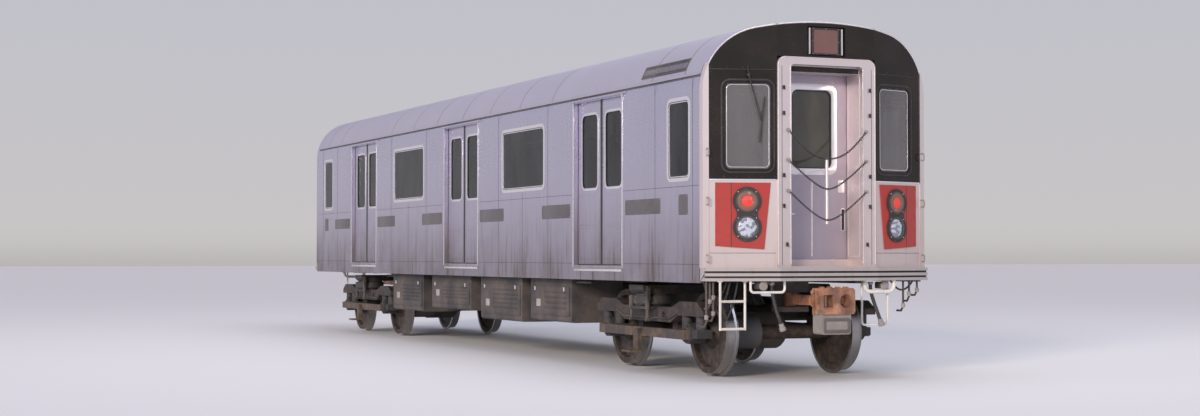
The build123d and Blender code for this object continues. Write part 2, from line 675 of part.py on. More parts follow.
def rear_wall():
    """The flat rear end wall with its doorway and the sliding door's pocket."""
    wall = body_section(0, BODY_REAR - WALL, BODY_REAR, ANTICLIMBER[1] + SEAT_GAP)
    foot_end = ANTICLIMBER_BACK - SEAT_GAP
    for foot in both_sides(block(INNER_X, HALF_WIDTH, BODY_REAR - WALL, foot_end, SILL_Z, FLOOR_Z)):
        wall = wall + foot
    doorway = block(
        -OPENING_HALF, OPENING_HALF, BODY_REAR - WALL - 1, BODY_REAR + 1, FLOOR_Z, END_DOOR_TOP - 25
    )
    pocket = block(
        -END_DOOR_HALF - RUN_GAP,
        END_DOOR_HALF + END_DOOR_TRAVEL + RUN_GAP,
        REAR_DOOR_Y - RUN_GAP,
        REAR_DOOR_Y + LEAF_THICK + RUN_GAP,
        FLOOR_Z,
        END_DOOR_TOP + RUN_GAP,
    )
    band, proud = 70.0, 16.0
    trim = block(
        -OPENING_HALF - band, OPENING_HALF + band, BODY_REAR - 1, BODY_REAR + proud, FLOOR_Z, END_DOOR_TOP - 25 + band
    ) - block(-OPENING_HALF, OPENING_HALF, BODY_REAR - 2, BODY_REAR + proud + 1, FLOOR_Z - 1, END_DOOR_TOP - 25)
    ribs = []
    for x in (640.0, 900.0, 1160.0):
        ribs += both_sides(block(x - 30, x + 30, BODY_REAR - 1, BODY_REAR + 10, FLOOR_Z + 60, MASK_BOTTOM))
    return (wall + trim + fused(ribs)).cut(doorway, pocket)


def end_door(y, outward):
    """A sliding end door from its y up by one leaf thickness; outward is the way its window frame stands out."""
    leaf = block(-END_DOOR_HALF, END_DOOR_HALF, y, y + LEAF_THICK, LEAF_FOOT, END_DOOR_TOP)
    x0, x1, z0, z1 = END_DOOR_WINDOW
    band = 74.0
    hole = rounded_on_end(x0 + band, x1 - band, z0 + band, z1 - band, 66, y - 1, LEAF_THICK + 2)
    face = y - 4.0 if outward < 0 else y + LEAF_THICK - 1.0
    ring = rounded_on_end(x0, x1, z0, z1, 96, face, 5.0)
    leaf = (leaf + ring) - rounded_on_end(x0 + band, x1 - band, z0 + band, z1 - band, 66, y - 20, LEAF_THICK + 40)
    shoes = [block(x - 40, x + 40, y + 10, y + 25, FLOOR_Z + SEAT_GAP, LEAF_FOOT + 1) for x in (-300, 300)]
    leaf = fused([leaf, *shoes])
    glass_gap = band + SEAT_GAP
    pane = rounded_on_end(
        x0 + glass_gap, x1 - glass_gap, z0 + glass_gap, z1 - glass_gap, 66 - SEAT_GAP, y + 12, GLASS
    )
    return leaf, pane


# Side doors
LEAF_WINDOW = (level(882.0), level(1732.0))
LEAF_WINDOW_SPAN = (110.0, 560.0)
LEAF_WINDOW_R = 70.0


def side_door_leaf(side, centre, way):
    """One side door leaf with its window, hanger shoes and rubber-edge recess, and its pane."""
    leading, trailing = side_leaf_y(centre, way, 0)
    ya, yb = sorted((leading, trailing))
    inner_x = LEAF_OUTER_X - LEAF_THICK
    leaf = block(side * inner_x, side * LEAF_OUTER_X, ya, yb, LEAF_FOOT, LEAF_TOP)
    near, far = LEAF_WINDOW_SPAN
    w0, w1 = sorted((leading + way * near, leading + way * far))
    z0, z1 = LEAF_WINDOW
    leaf = leaf - rounded_on_side(side, w0, w1, z0, z1, LEAF_WINDOW_R, LEAF_OUTER_X + 5, LEAF_THICK + 20)
    shoes = []
    for y in (ya + 120, yb - 120):
        shoes.append(
            block(side * (inner_x + 10), side * (LEAF_OUTER_X - 10), y - 30, y + 30, FLOOR_Z + SEAT_GAP, LEAF_FOOT + 1)
        )
    leaf = fused([leaf, *shoes])
    gap = SEAT_GAP
    pane = rounded_on_side(
        side, w0 + gap, w1 - gap, z0 + gap, z1 - gap, LEAF_WINDOW_R - gap, LEAF_OUTER_X - 8, GLASS
    )
    return leaf, pane


# Interior
LINING = 14.0
CAB_LENGTH = 1290.0
PARTITION_Y = BODY_FRONT + CAB_LENGTH
PARTITION = 40.0
CAB_DOOR_HALF = 330.0
CAB_DOOR_WINDOW = (-170.0, 170.0, level(982.0), level(1682.0))
HINGE_X = -CAB_DOOR_HALF - 2.0
HINGE_Y = PARTITION_Y + PARTITION + 12.0
KNUCKLE_R = 10.0
KNUCKLES = (level(332.0), level(1532.0))
BENCH_TO_DOORWAY = 90.0
BENCH_START = DOORWAY_WIDTH / 2 + BENCH_TO_DOORWAY
BENCHES = (
    # y at the two ends
    (PARTITION_Y + 60.0, -DOOR_PITCH - BENCH_START),
    (-DOOR_PITCH + BENCH_START, -BENCH_START),
    (BENCH_START, DOOR_PITCH - BENCH_START),
    (DOOR_PITCH + BENCH_START, BODY_REAR - 170.0),
)
BENCH_SECTION = (
    # distance from the centre line, height above the floor
    (1010.0, 272.0),
    (770.0, 322.0),
    (745.0, 422.0),
    (770.0, 444.0),
    (1070.0, 428.0),
    (1118.0, 862.0),
)
GRAB_BAR_Z = level(1822.0)
STANCHION_X = 735.0
STANCHION_R = 17.0


def floor_panel():
    """The floor between the walls."""
    x = INNER_X - SEAT_GAP
    y0 = CORNER_Y + FACET_WALL + SEAT_GAP
    return block(-x, x, y0, BODY_REAR - WALL - SEAT_GAP, FLOOR_Z - 28, FLOOR_Z)


def ceiling_lining():
    """The curved ceiling with its two light strips."""
    y0, y1 = PARTITION_Y + PARTITION + SEAT_GAP, BODY_REAR - WALL - 2 * SEAT_GAP
    inset = WALL + SEAT_GAP
    skin = body_section(inset, y0, y1, EAVE_Z - 90) - body_section(inset + LINING, y0 - 1, y1 + 1)
    strips = []
    for x in (-620.0, 620.0):
        z = under_roof_z(x, inset + LINING)
        strips.append(block(x - 65, x + 65, y0, y1, z - 34, z + 8))
    return fused([skin, *strips])


def bench(side, y0, y1):
    """One longitudinal bench with its heater box, along one side."""
    back, foot = INNER_X - SEAT_GAP, FLOOR_Z + SEAT_GAP
    front = [(x, FLOOR_Z + z) for x, z in BENCH_SECTION]
    section = [(back, foot), (front[0][0], foot), *front, (back, front[-1][1])]
    return along_car([(side * x, z) for x, z in section], y0, y1)


def handrail(side, y0, y1):
    """The stanchions at a bench's ends and the bar between them."""
    inset = 60.0
    top = under_roof_z(STANCHION_X, WALL + LINING + 3 * SEAT_GAP) - 6
    ya, yb = y0 + inset, y1 - inset
    posts = []
    for y in (ya, yb):
        foot = (side * (STANCHION_X - 12), y, FLOOR_Z + SEAT_GAP)
        posts.append(rod(foot, (side * (STANCHION_X - 12), y, top), STANCHION_R))
    bar_x = side * (STANCHION_X - 12)
    bar = rod((bar_x, ya, GRAB_BAR_Z), (bar_x, yb, GRAB_BAR_Z), STANCHION_R - 2)
    return fused([*posts, bar])


def centre_pole(y):
    """A pole in the middle of a doorway's standing space."""
    top = under_roof_z(0, WALL + LINING + 2 * SEAT_GAP)
    return rod((0, y, FLOOR_Z + SEAT_GAP), (0, y, top), STANCHION_R)


def cab_partition():
    """The wall between cab and saloon, with its doorway and hinge knuckles."""
    x = INNER_X - SEAT_GAP
    y0, y1 = PARTITION_Y, PARTITION_Y + PARTITION
    wall = body_section(WALL + SEAT_GAP, y0, y1, FLOOR_Z + SEAT_GAP)
    wall = wall & block(-x, x, y0, y1, FLOOR_Z, BODY_HEIGHT)
    doorway = block(-CAB_DOOR_HALF, CAB_DOOR_HALF, y0 - 1, y1 + 1, FLOOR_Z, DOORWAY_TOP)
    wall = wall - doorway
    knuckles = []
    for z in KNUCKLES:
        knuckles.append(rod((HINGE_X, HINGE_Y, z - 60), (HINGE_X, HINGE_Y, z - SEAT_GAP), KNUCKLE_R))
        knuckles.append(block(HINGE_X - 40, HINGE_X, y1 - 1, HINGE_Y + 3, z - 60, z - SEAT_GAP))
    return fused([wall, *knuckles])


def cab_door():
    """The hinged cab door with a window, and its pane."""
    y0, y1 = PARTITION_Y + 4, PARTITION_Y + PARTITION + 3
    x0, x1 = -CAB_DOOR_HALF + RUN_GAP, CAB_DOOR_HALF - RUN_GAP
    leaf = block(x0, x1, y0, y1, FLOOR_Z + RUN_GAP, DOORWAY_TOP - RUN_GAP)
    window = CAB_DOOR_WINDOW
    leaf = leaf - rounded_on_end(*window, 50, y0 - 2, PARTITION + 4)
    straps = []
    for z in KNUCKLES:
        straps.append(rod((HINGE_X, HINGE_Y, z), (HINGE_X, HINGE_Y, z + 60), KNUCKLE_R))
        straps.append(block(HINGE_X, x0 + 60, y1 - 1, HINGE_Y - 2, z, z + 60))
    leaf = fused([leaf, *straps])
    gap = SEAT_GAP
    pane = rounded_on_end(
        window[0] + gap, window[1] - gap, window[2] + gap, window[3] - gap, 50 - gap, y0 + 14, GLASS
    )
    return leaf, pane


def cab_console():
    """The operator's desk under the right windshield."""
    foot = FLOOR_Z + SEAT_GAP
    section = [
        # distance behind the front corner, z
        (138, foot),
        (425, foot),
        (425, foot + 12),
        (325, foot + 72),
        (325, FLOOR_Z + 712),
        (435, FLOOR_Z + 762),
        (350, FLOOR_Z + 852),
        (138, FLOOR_Z + 917),
    ]
    return across_car([(CORNER_Y + y, z) for y, z in section], 10.0 - INNER_X, -470.0)


def cab_seat():
    """The operator's seat on its pedestal."""
    x, y, seat_z = -800.0, CORNER_Y + 760.0, FLOOR_Z + 392.0
    post = rod((x, y, FLOOR_Z + SEAT_GAP), (x, y, seat_z), 45)
    foot = rod((x, y, FLOOR_Z + SEAT_GAP), (x, y, FLOOR_Z + 20), 160)
    pan = fillet(block(x - 230, x + 230, y - 220, y + 220, seat_z - 1, seat_z + 90).edges().filter_by(Axis.Z), 60)
    back = fillet(block(x - 215, x + 215, y + 150, y + 225, seat_z + 80, seat_z + 640).edges().filter_by(Axis.Y), 60)
    return fused([post, foot, pan, back])


# Underframe
BEAM_BOTTOM = 990.0
BEAM_TOP = FLOOR_Z - 28.0 - SEAT_GAP
BEARER_PITCH = along(915.0)
SILL_X = (360.0, 440.0)
PIVOT_PIN_R = 40.0
DRAFT_Y = BODY_REAR - 770.0
DRAWBAR_Z = 815.0


def underframe():
    """Longitudinal and cross beams, body bolsters and end sills."""
    x = INNER_X - SEAT_GAP
    back = ANTICLIMBER_BACK
    pieces = both_sides(block(*SILL_X, -back, back, BEAM_BOTTOM, BEAM_TOP))
    pieces += both_sides(block(x - 60, x, CORNER_Y + 70, back - 80, BEAM_BOTTOM + 30, BEAM_TOP))
    for i in range(-7, 8):
        y = i * BEARER_PITCH
        pieces.append(block(-x, x, y - 35, y + 35, BEAM_BOTTOM, BEAM_TOP))
    for end in (-1, 1):
        centre = end * BOGIE_CENTRES / 2
        pieces.append(block(-x, x, centre - 260, centre + 260, BEAM_BOTTOM, BEAM_TOP))
        sill = end_outline(back, SWEEP if end < 0 else 0.0, back - 160, ANTICLIMBER[0], BEAM_TOP, x)
        pieces.append(sill if end > 0 else mirror(sill, about=Plane.XZ))
    return fused(pieces)


def draft_pocket(end):
    """The pocket between the centre sills that carries one end's drawbar on an upright pin."""
    sill_x = SILL_X[0] - SEAT_GAP
    pocket = block(-150, 150, end * (DRAFT_Y - 130), end * (DRAFT_Y + 130), DRAWBAR_Z - 130, BEAM_TOP)
    jaw = block(-151, 151, end * (DRAFT_Y - 70), end * (DRAFT_Y + 131), DRAWBAR_Z - 76, DRAWBAR_Z + 76)
    pin = rod((0, end * DRAFT_Y, DRAWBAR_Z - 100), (0, end * DRAFT_Y, DRAWBAR_Z + 100), 30)
    yoke = block(-sill_x, sill_x, end * (DRAFT_Y - 130), end * (DRAFT_Y + 130), 1060, BEAM_TOP)
    return fused([pocket - jaw, pin, yoke])


def centre_pin(end):
    """A body bolster's centre pin."""
    y = end * BOGIE_CENTRES / 2
    return rod((0, y, BEAM_BOTTOM - SEAT_GAP), (0, y, 880), PIVOT_PIN_R)


def drawbar(end, length, head):
    """A drawbar swinging on its pin, with a round bored root and what it carries."""
    y = end * DRAFT_Y
    root = rod((0, y, DRAWBAR_Z - 70), (0, y, DRAWBAR_Z + 70), 62)
    bar = block(-48, 48, y, end * (DRAFT_Y + length), DRAWBAR_Z - 52, DRAWBAR_Z + 52)
    bar = fused([root, bar, *head])
    return bar - rod((0, y, DRAWBAR_Z - 90), (0, y, DRAWBAR_Z + 90), 30 + SEAT_GAP)


COUPLER_FACE = BODY_REAR + COUPLER_REACH
HEAD = (210.0, 683.0, 947.0)
HEAD_LENGTH = 210.0
HEAD_MID_Z = (HEAD[1] + HEAD[2]) / 2
FLANGE_DEPTH = 52.0
FUNNEL_X = 104.0
FUNNEL = (
    # radius, depth into the face
    (0.0, -1.0),
    (0.0, 96.0),
    (34.0, 96.0),
    (72.0, -1.0),
)
HOOK_HOLE = (-158.0, -52.0, 62.0)
HOOK_R = 22.0
ELECTRIC_BOX = (175.0, 478.0)
ELECTRIC_BOX_SET = 25.0
ELECTRIC_LID_SET = 12.0
COLLARS = (90.0, 136.0, 182.0)


def front_coupler():
    """The automatic coupler: head with face pocket, hook horn and electric box, on its drawbar."""
    half, z0, z1 = HEAD
    face, back = -COUPLER_FACE, -COUPLER_FACE + HEAD_LENGTH
    head = block(-half, half, face + FLANGE_DEPTH, back, z0, z1)
    head = chamfer(head.edges().filter_by(Axis.Z).group_by(Axis.Y)[-1], 70)
    flange = block(-half, half, face, face + FLANGE_DEPTH + 1, z0, z1)
    flange = fillet(flange.edges().filter_by(Axis.Y), 36)
    waist_y = (face + FLANGE_DEPTH + 30, back - 90)
    waists = both_sides(block(half - 30, half + 30, *waist_y, z0 - 1, z1 + 1))
    head = fused([head, flange]).cut(*waists)
    cone = revolve(make_face(Polyline(*[(r, y) for r, y in FUNNEL], close=True)), axis=Axis.Y, revolution_arc=360)
    x0, x1, rise = HOOK_HOLE
    hole = block(x0, x1, face - 1, face + rise, HEAD_MID_Z - rise, HEAD_MID_Z + rise)
    head = head - Pos(FUNNEL_X, face, HEAD_MID_Z) * cone - hole
    hook_x, hook_y = x0 + 36, face + 40
    hook = rod((hook_x, hook_y, HEAD_MID_Z - rise + 2), (hook_x, hook_y, HEAD_MID_Z + rise - 2), HOOK_R)
    box_half, box_z = ELECTRIC_BOX
    box = block(-box_half, box_half, face + ELECTRIC_BOX_SET, back - PAST, box_z, z0 + 1)
    box = fillet(box.edges().filter_by(Axis.Y).group_by(Axis.Z)[0], 30)
    lid_y = (face + ELECTRIC_LID_SET, face + ELECTRIC_BOX_SET + 1)
    lid = block(20 - box_half, box_half - 20, *lid_y, box_z + 20, z0 - 40)
    collars = [rod((0, back + y, DRAWBAR_Z), (0, back + y + 34, DRAWBAR_Z), 84) for y in COLLARS]
    return drawbar(-1, -DRAFT_Y - back, [head, hook, box, lid, *collars])


EYE_R = 40.0
EYE_Y = COUPLER_FACE - 75.0


def rear_drawbar():
    """The rear link bar with a bored eye at its end."""
    eye = rod((0, EYE_Y, DRAWBAR_Z - 52), (0, EYE_Y, DRAWBAR_Z + 52), 75)
    bar = drawbar(1, EYE_Y - DRAFT_Y, [eye])
    return bar - rod((0, EYE_Y, DRAWBAR_Z - 60), (0, EYE_Y, DRAWBAR_Z + 60), EYE_R)


EQUIPMENT = (
    # x0, x1, y0, y1, z0, z1
    (-1150.0, -480.0, along(-3600.0), along(-2250.0), 470.0, BEAM_BOTTOM),
    (520.0, 1150.0, along(-3600.0), along(-1900.0), 520.0, BEAM_BOTTOM),
    (-1150.0, -520.0, along(-1950.0), along(-400.0), 430.0, BEAM_BOTTOM),
    (480.0, 1150.0, along(-1500.0), along(300.0), 450.0, BEAM_BOTTOM),
    (-1150.0, -480.0, along(0.0), along(1700.0), 520.0, BEAM_BOTTOM),
    (540.0, 1150.0, along(700.0), along(2000.0), 430.0, BEAM_BOTTOM),
    (-1150.0, -540.0, along(2100.0), along(3600.0), 450.0, BEAM_BOTTOM),
    (480.0, 1150.0, along(2400.0), along(3600.0), 500.0, BEAM_BOTTOM),
)
TANKS = (
    # x, first and last bearer that carry it
    (-180.0, -3, -2),
    (180.0, -3, -2),
    (0.0, 1, 2),
)
TANK_R = 160.0


def equipment_box(x0, x1, y0, y1, z0, z1):
    """An underfloor case hung from the beams, with rounded lower edges and a lid frame outside."""
    case = block(x0, x1, y0, y1, z0, z1 - SEAT_GAP)
    case = fillet(case.edges().filter_by(Axis.Y).group_by(Axis.Z)[0], 40)
    outer = 1 if x0 > 0 else -1
    face = x1 if outer > 0 else x0
    lid = block(face - outer, face + outer * 14, y0 + 60, y1 - 60, z0 + 80, z1 - 90)
    return case + lid


def tank(x, first, last):
    """An air reservoir hung by a strap from each of two cross bearers."""
    z, overhang = 760.0, 240.0
    hangs = [first * BEARER_PITCH, last * BEARER_PITCH]
    shell = rod((x, hangs[0] - overhang, z), (x, hangs[1] + overhang, z), TANK_R)
    straps = [block(x - 20, x + 20, y - 30, y + 30, z, BEAM_BOTTOM - SEAT_GAP) for y in hangs]
    return fused([shell, *straps])


LADDER_X = (1160.0, 880.0)
LADDER_Y = (BODY_FRONT + 123.0, BODY_REAR - 75.0)
RUNG_Z = (815.0, 538.0)
LADDER_R = 13.0
END_PIPES = (
    # x at the two ends, lowest z, radius, distance behind the end
    (-820.0, -470.0, 905.0, 22.0, 40.0),
    (470.0, 860.0, 905.0, 13.0, 40.0),
    (-780.0, -470.0, 560.0, 12.0, 95.0),
)


def step_ladder(end):
    """A two-rung step ladder under one end's right-hand corner."""
    x0, x1 = end * LADDER_X[0], end * LADDER_X[1]
    y = LADDER_Y[0] if end < 0 else LADDER_Y[1]
    top = ANTICLIMBER[0] - SEAT_GAP
    rails = [rod((x, y, top), (x, y, RUNG_Z[1] - LADDER_R - 1), LADDER_R) for x in (x0, x1)]
    steps = [rod((x0, y, z), (x1, y, z), LADDER_R) for z in RUNG_Z]
    return fused([*rails, *steps])


def end_pipes(end):
    """Pipes hung under the end sill: two beside the coupler, and one lower down at the ladder's side."""
    top = ANTICLIMBER[0] - SEAT_GAP
    pipes = []
    for x0, x1, z, radius, behind in END_PIPES:
        y = end * (BODY_REAR - behind)
        points = [(end * x0, y, top), (end * x0, y, z), (end * x1, y, z), (end * x1, y, top)]
        pipes.append(tube_path(points, radius, 3 * radius))
    return pipes


# Bogies and wheelsets
BEAM_X = (905.0, 1040.0)
AXLE_BOX_X = (862.0, 1058.0)
AXLE_BOX_R = 110.0
BEAM_UNDERSIDE = 640.0
SPRING_SEAT_Z = 722.0
BOLSTER = (860.0, 955.0)
BOLSTER_HALF = 1170.0
AIR_SPRING_X = 965.0
AIR_SPRING_R = 215.0
TRANSOM_Y = 262.0
TRANSOM_R = 85.0
TRANSOM_Z = 630.0
BEAM_CREST_R = 40.0
BEAM_PROFILE = (
    # distance beyond the axle, height over the underside
    (-441.5, -80.0),
    (-261.5, 0.0),
    (338.5, 0.0),
    (338.5, 65.0),
    (198.5, 150.0),
    (-211.5, 150.0),
    (-421.5, SPRING_SEAT_Z - BEAM_UNDERSIDE),
)
BEAM_HOLE_Y = 430.0
BEAM_HOLE_R = 34.0
BRAKE_CYLINDER_Y = (380.0, 520.0)
BRAKE_CYLINDER_R = 66.0
MOTOR_Y = 600.0
MOTOR_R = 200.0
MOTOR_PROFILE = (
    # distance along the shaft, radius less the body's
    (-300.0, -MOTOR_R),
    (-300.0, -46.0),
    (-262.0, -12.0),
    (-236.0, -12.0),
    (-236.0, 0.0),
    (196.0, 0.0),
    (196.0, -12.0),
    (250.0, -30.0),
    (250.0, -MOTOR_R),
)
GEAR_CASE = (249.0, 560.0, 130.0)
WHEEL_PROFILE = (
    # distance from the car's centre line, radius
    (0.0, 0.0),
    (0.0, AXLE_R),
    (BACK_TO_BACK / 2 - 14, AXLE_R),
    (BACK_TO_BACK / 2 - 14, 130.0),
    (700.0, 165.0),
    (700.0, 350.0),
    (BACK_TO_BACK / 2, 360.0),
    (BACK_TO_BACK / 2, WHEEL_R + FLANGE),
    (BACK_TO_BACK / 2 + 20, WHEEL_R + FLANGE),
    (BACK_TO_BACK / 2 + 33, WHEEL_R + 3),
    (BACK_TO_BACK / 2 + WHEEL_WIDTH, WHEEL_R - 3),
    (BACK_TO_BACK / 2 + WHEEL_WIDTH, 362.0),
    (760.0, 350.0),
    (752.0, 165.0),
    (838.0, 120.0),
    (838.0, JOURNAL_R),
    (AXLE_LENGTH / 2, JOURNAL_R),
    (AXLE_LENGTH / 2, 0.0),
)


def axle_places():
    """The y of the four axles, from the cab end."""
    return [c * BOGIE_CENTRES / 2 + a * WHEELBASE / 2 for c in (-1, 1) for a in (-1, 1)]


def wheelset(y):
    """An axle with both wheels, turned as one piece."""
    outline = Polyline(*[(x, 0, r) for x, r in WHEEL_PROFILE], close=True)
    half = revolve(make_face(outline), axis=Axis.X, revolution_arc=360)
    return Pos(0, y, WHEEL_Z) * fused(both_sides(half))


def bogie_frame(y):
    """The bogie frame: cranked side beams, two tubular transoms, brake units and the bored bolster."""
    axle = WHEELBASE / 2
    half = [(axle + reach, BEAM_UNDERSIDE + rise) for reach, rise in BEAM_PROFILE]
    beam = [(y + dy, z) for dy, z in half] + [(y - dy, z) for dy, z in reversed(half)]
    side_beam = across_car(beam, *BEAM_X)
    side_beam = fillet(side_beam.edges().filter_by(Axis.X).group_by(Axis.Z)[-1], BEAM_CREST_R)
    holes = []
    for hole_y in (y - BEAM_HOLE_Y, y + BEAM_HOLE_Y):
        ends = [(x, hole_y, BEAM_UNDERSIDE) for x in (BEAM_X[0] - 1, BEAM_X[1] + 1)]
        holes.append(rod(*ends, BEAM_HOLE_R))
    pieces = both_sides(side_beam.cut(*holes))
    pad = AIR_SPRING_R - 25
    pieces += both_sides(
        block(AIR_SPRING_X - pad, AIR_SPRING_X + pad, y - pad - 30, y + pad + 30, SPRING_SEAT_Z - 30, SPRING_SEAT_Z)
    )
    for way in (-1, 1):
        transom_y, reach = y + way * TRANSOM_Y, BEAM_X[0] + 10
        pieces.append(rod((-reach, transom_y, TRANSOM_Z), (reach, transom_y, TRANSOM_Z), TRANSOM_R))
        pieces += both_sides(brake_unit(y, way))
    return fused(pieces)


def brake_unit(y, way):
    """The left tread brake of one axle: cylinder on its bracket, push rod and shoe."""
    x, z = BACK_TO_BACK / 2 + WHEEL_WIDTH / 2, WHEEL_Z
    tread_y = y + way * (WHEELBASE / 2 - WHEEL_R)
    shoe_y = tread_y - way * (RUN_GAP + 3)
    start, end = (y + way * dy for dy in BRAKE_CYLINDER_Y)
    cylinder = rod((x, start, z), (x, end, z), BRAKE_CYLINDER_R)
    push_rod = rod((x, end - way, z), (x, shoe_y - way * 30, z), 26)
    shoe = block(x - 18, x + 46, shoe_y - way * 44, shoe_y, z - 110, z + 110)
    bracket = block(760, BEAM_X[0] + 1, start, start + way * 120, z - 40, z + 140)
    return fused([cylinder, push_rod, shoe, bracket])


def bogie_bolster(y):
    """The bolster over the air springs, with its centre plate bored for the body's pin."""
    beam = block(-BOLSTER_HALF, BOLSTER_HALF, y - 190, y + 190, *BOLSTER)
    beam = chamfer(beam.edges().filter_by(Axis.Y).group_by(Axis.Z)[0], 40)
    plate = rod((0, y, BOLSTER[1] - 1), (0, y, BEAM_BOTTOM - SEAT_GAP), 210)
    ear_x, ear_z = (BOLSTER_HALF - 60, BOLSTER_HALF - 24), (BOLSTER[0] - 70, BOLSTER[1] - 10)
    ears = both_sides(block(*ear_x, y - 250, y - 170, *ear_z))
    bolster = fused([beam, plate, *ears])
    return bolster - rod((0, y, BOLSTER[0] - 1), (0, y, BEAM_BOTTOM + 1), PIVOT_PIN_R + SEAT_GAP)


def bogie_springs(y):
    """Air springs under the bolster, and the axle boxes with their rubber springs."""
    solids = []
    mid = (SPRING_SEAT_Z + BOLSTER[0]) / 2
    low, high = SPRING_SEAT_Z + SEAT_GAP, BOLSTER[0] - SEAT_GAP
    r = AIR_SPRING_R
    profile = [(0, low), (r - 30, low), (r, low + 30), (r, high - 30), (r - 30, high), (0, high)]
    outline = Polyline(*[(pr, 0, pz) for pr, pz in profile], close=True)
    bag = Pos(AIR_SPRING_X, y, 0) * revolve(make_face(outline), axis=Axis.Z, revolution_arc=360)
    solids += both_sides(bag)
    x0, x1 = AXLE_BOX_X
    for way in (-1, 1):
        axle_y = y + way * WHEELBASE / 2
        box = rod((x0, axle_y, WHEEL_Z), (x1, axle_y, WHEEL_Z), AXLE_BOX_R)
        wing = block(x0 + 8, x1 - 8, axle_y - 225, axle_y + 225, WHEEL_Z - 50, WHEEL_Z + 40)
        springs = []
        for dy in (-165, 165):
            foot = ((x0 + x1) / 2 + 8, axle_y + dy, WHEEL_Z + 39)
            springs.append(rod(foot, (foot[0], foot[1], BEAM_UNDERSIDE - SEAT_GAP), 58))
        bore_end = AXLE_LENGTH / 2 + 3
        bore = rod((x0 - 1, axle_y, WHEEL_Z), (bore_end, axle_y, WHEEL_Z), JOURNAL_R + SEAT_GAP)
        solids += both_sides(fused([box, wing, *springs]) - bore)
    return solids


def traction_motors(y):
    """Two motors hung on the transoms, each with a gear case round its axle."""
    solids = []
    for way in (-1, 1):
        motor_y, axle_y = y + way * MOTOR_Y, y + way * WHEELBASE / 2
        outline = make_face(Polyline(*[(way * x, 0, MOTOR_R + r) for x, r in MOTOR_PROFILE], close=True))
        body = Pos(0, motor_y, WHEEL_Z) * revolve(outline, axis=Axis.X, revolution_arc=360)
        x0, x1, case_half = way * GEAR_CASE[0], way * GEAR_CASE[1], GEAR_CASE[2]
        case = block(x0, x1, motor_y, axle_y, WHEEL_Z - case_half, WHEEL_Z + case_half)
        barrel = rod((x0, axle_y, WHEEL_Z), (x1, axle_y, WHEEL_Z), 170)
        hanger_y = y + way * (TRANSOM_Y + TRANSOM_R + SEAT_GAP)
        arm = block(-90, 90, hanger_y, motor_y, TRANSOM_Z - 40, TRANSOM_Z + 20)
        bore = rod((x0 - way, axle_y, WHEEL_Z), (x1 + way, axle_y, WHEEL_Z), AXLE_R + 4)
        solids.append(fused([body, case, barrel, arm]) - bore)
    return solids


def shoe_gear(y):
    """The insulating beam each side between the axle boxes, with the collector shoe on it."""
    x0 = AXLE_BOX_X[1] + SEAT_GAP
    beam = block(x0, x0 + 70, y - 1110, y + 1110, 395, 495)
    arm = block(x0 + 69, x0 + 120, y - 60, y + 60, 240, 480)
    paddle = block(x0 + 70, HALF_WIDTH - 12, y - 115, y + 115, 222, 244)
    return both_sides(fused([beam, arm, paddle]))


# Safety chains across the front doorway
CHAIN_D = 22.0
CHAIN_Y = BODY_FRONT - PORTAL_PROUD - 16.0
CHAIN_ROUTES = {
    # half of each route, from the middle out: x, z
    "chain_top": [(75.0, level(1096.0)), (205.0, level(1144.0)), (330.0, level(1244.0)), (447.0, level(1372.0))],
    "chain_middle": [(52.0, level(788.0)), (180.0, level(858.0)), (312.0, level(954.0)), (447.0, level(1068.0))],
    "chain_bottom": [(52.0, level(472.0)), (180.0, level(544.0)), (312.0, level(640.0)), (447.0, level(756.0))],
}
SPREADER = (level(432.0), level(1107.0))
SPREADER_R = 17.0


def chain_points(name):
    """The route of a chain from hook to hook."""
    half = CHAIN_ROUTES[name]
    return [(-x, CHAIN_Y, z) for x, z in reversed(half)] + [(x, CHAIN_Y, z) for x, z in half]


def route_radii(points):
    """The arc at each inner point: 0.45 of its shorter run over the tangent of half its turn."""
    vectors = [Vector(*b) - Vector(*a) for a, b in zip(points, points[1:])]
    radii = []
    for before, after in zip(vectors, vectors[1:]):
        turn = radians(before.get_angle(after))
        radii.append(0.45 * min(before.length, after.length) / tan(turn / 2))
    return radii


def chain(name):
    """A chain hung from hook to hook, as a plain round tube."""
    points = chain_points(name)
    radii = route_radii(points)
    path = FilletPolyline(*points, radius=radii)
    tube = sweep(Plane(origin=path @ 0, z_dir=path % 0) * Circle(CHAIN_D / 2), path=path)
    print(name, "length", round(path.length), "radii", [round(r) for r in radii])
    print(name, "volume over section times length", round(tube.volume / (pi * CHAIN_D**2 / 4 * path.length), 4))
    return tube


def chain_hooks():
    """The six hooks on the portal's posts that carry the chains."""
    hooks = []
    face = BODY_FRONT - PORTAL_PROUD - SEAT_GAP
    eye_r, eye_length, lug = 14.0, 26.0, 11.0
    for name in CHAIN_ROUTES:
        last, end = [Vector(*point) for point in chain_points(name)[-2:]]
        way = (end - last).normalized()
        near, far = end + way * SEAT_GAP, end + way * eye_length
        centre = end + way * (eye_length - 4)
        eye = rod(tuple(near), tuple(far), eye_r)
        stem = block(centre.X - lug, centre.X + lug, face, CHAIN_Y, centre.Z - lug, centre.Z + lug)
        hooks += both_sides(eye + stem)
    return hooks


def chain_spreader():
    """The upright rod that hangs behind the three chains and keeps them apart."""
    y = CHAIN_Y + CHAIN_D / 2 + SEAT_GAP + SPREADER_R
    return rod((0, y, SPREADER[0]), (0, y, SPREADER[1]), SPREADER_R)


def save(name, shapes):
    """One STEP file for a node, of one or more solids."""
    shapes = shapes if isinstance(shapes, (list, tuple)) else [shapes]
    solids = [solid for shape in shapes for solid in shape.solids()]
    node = Compound(children=solids) if len(solids) > 1 else solids[0]
    export_step(node, os.path.join("parts", name + ".step"))


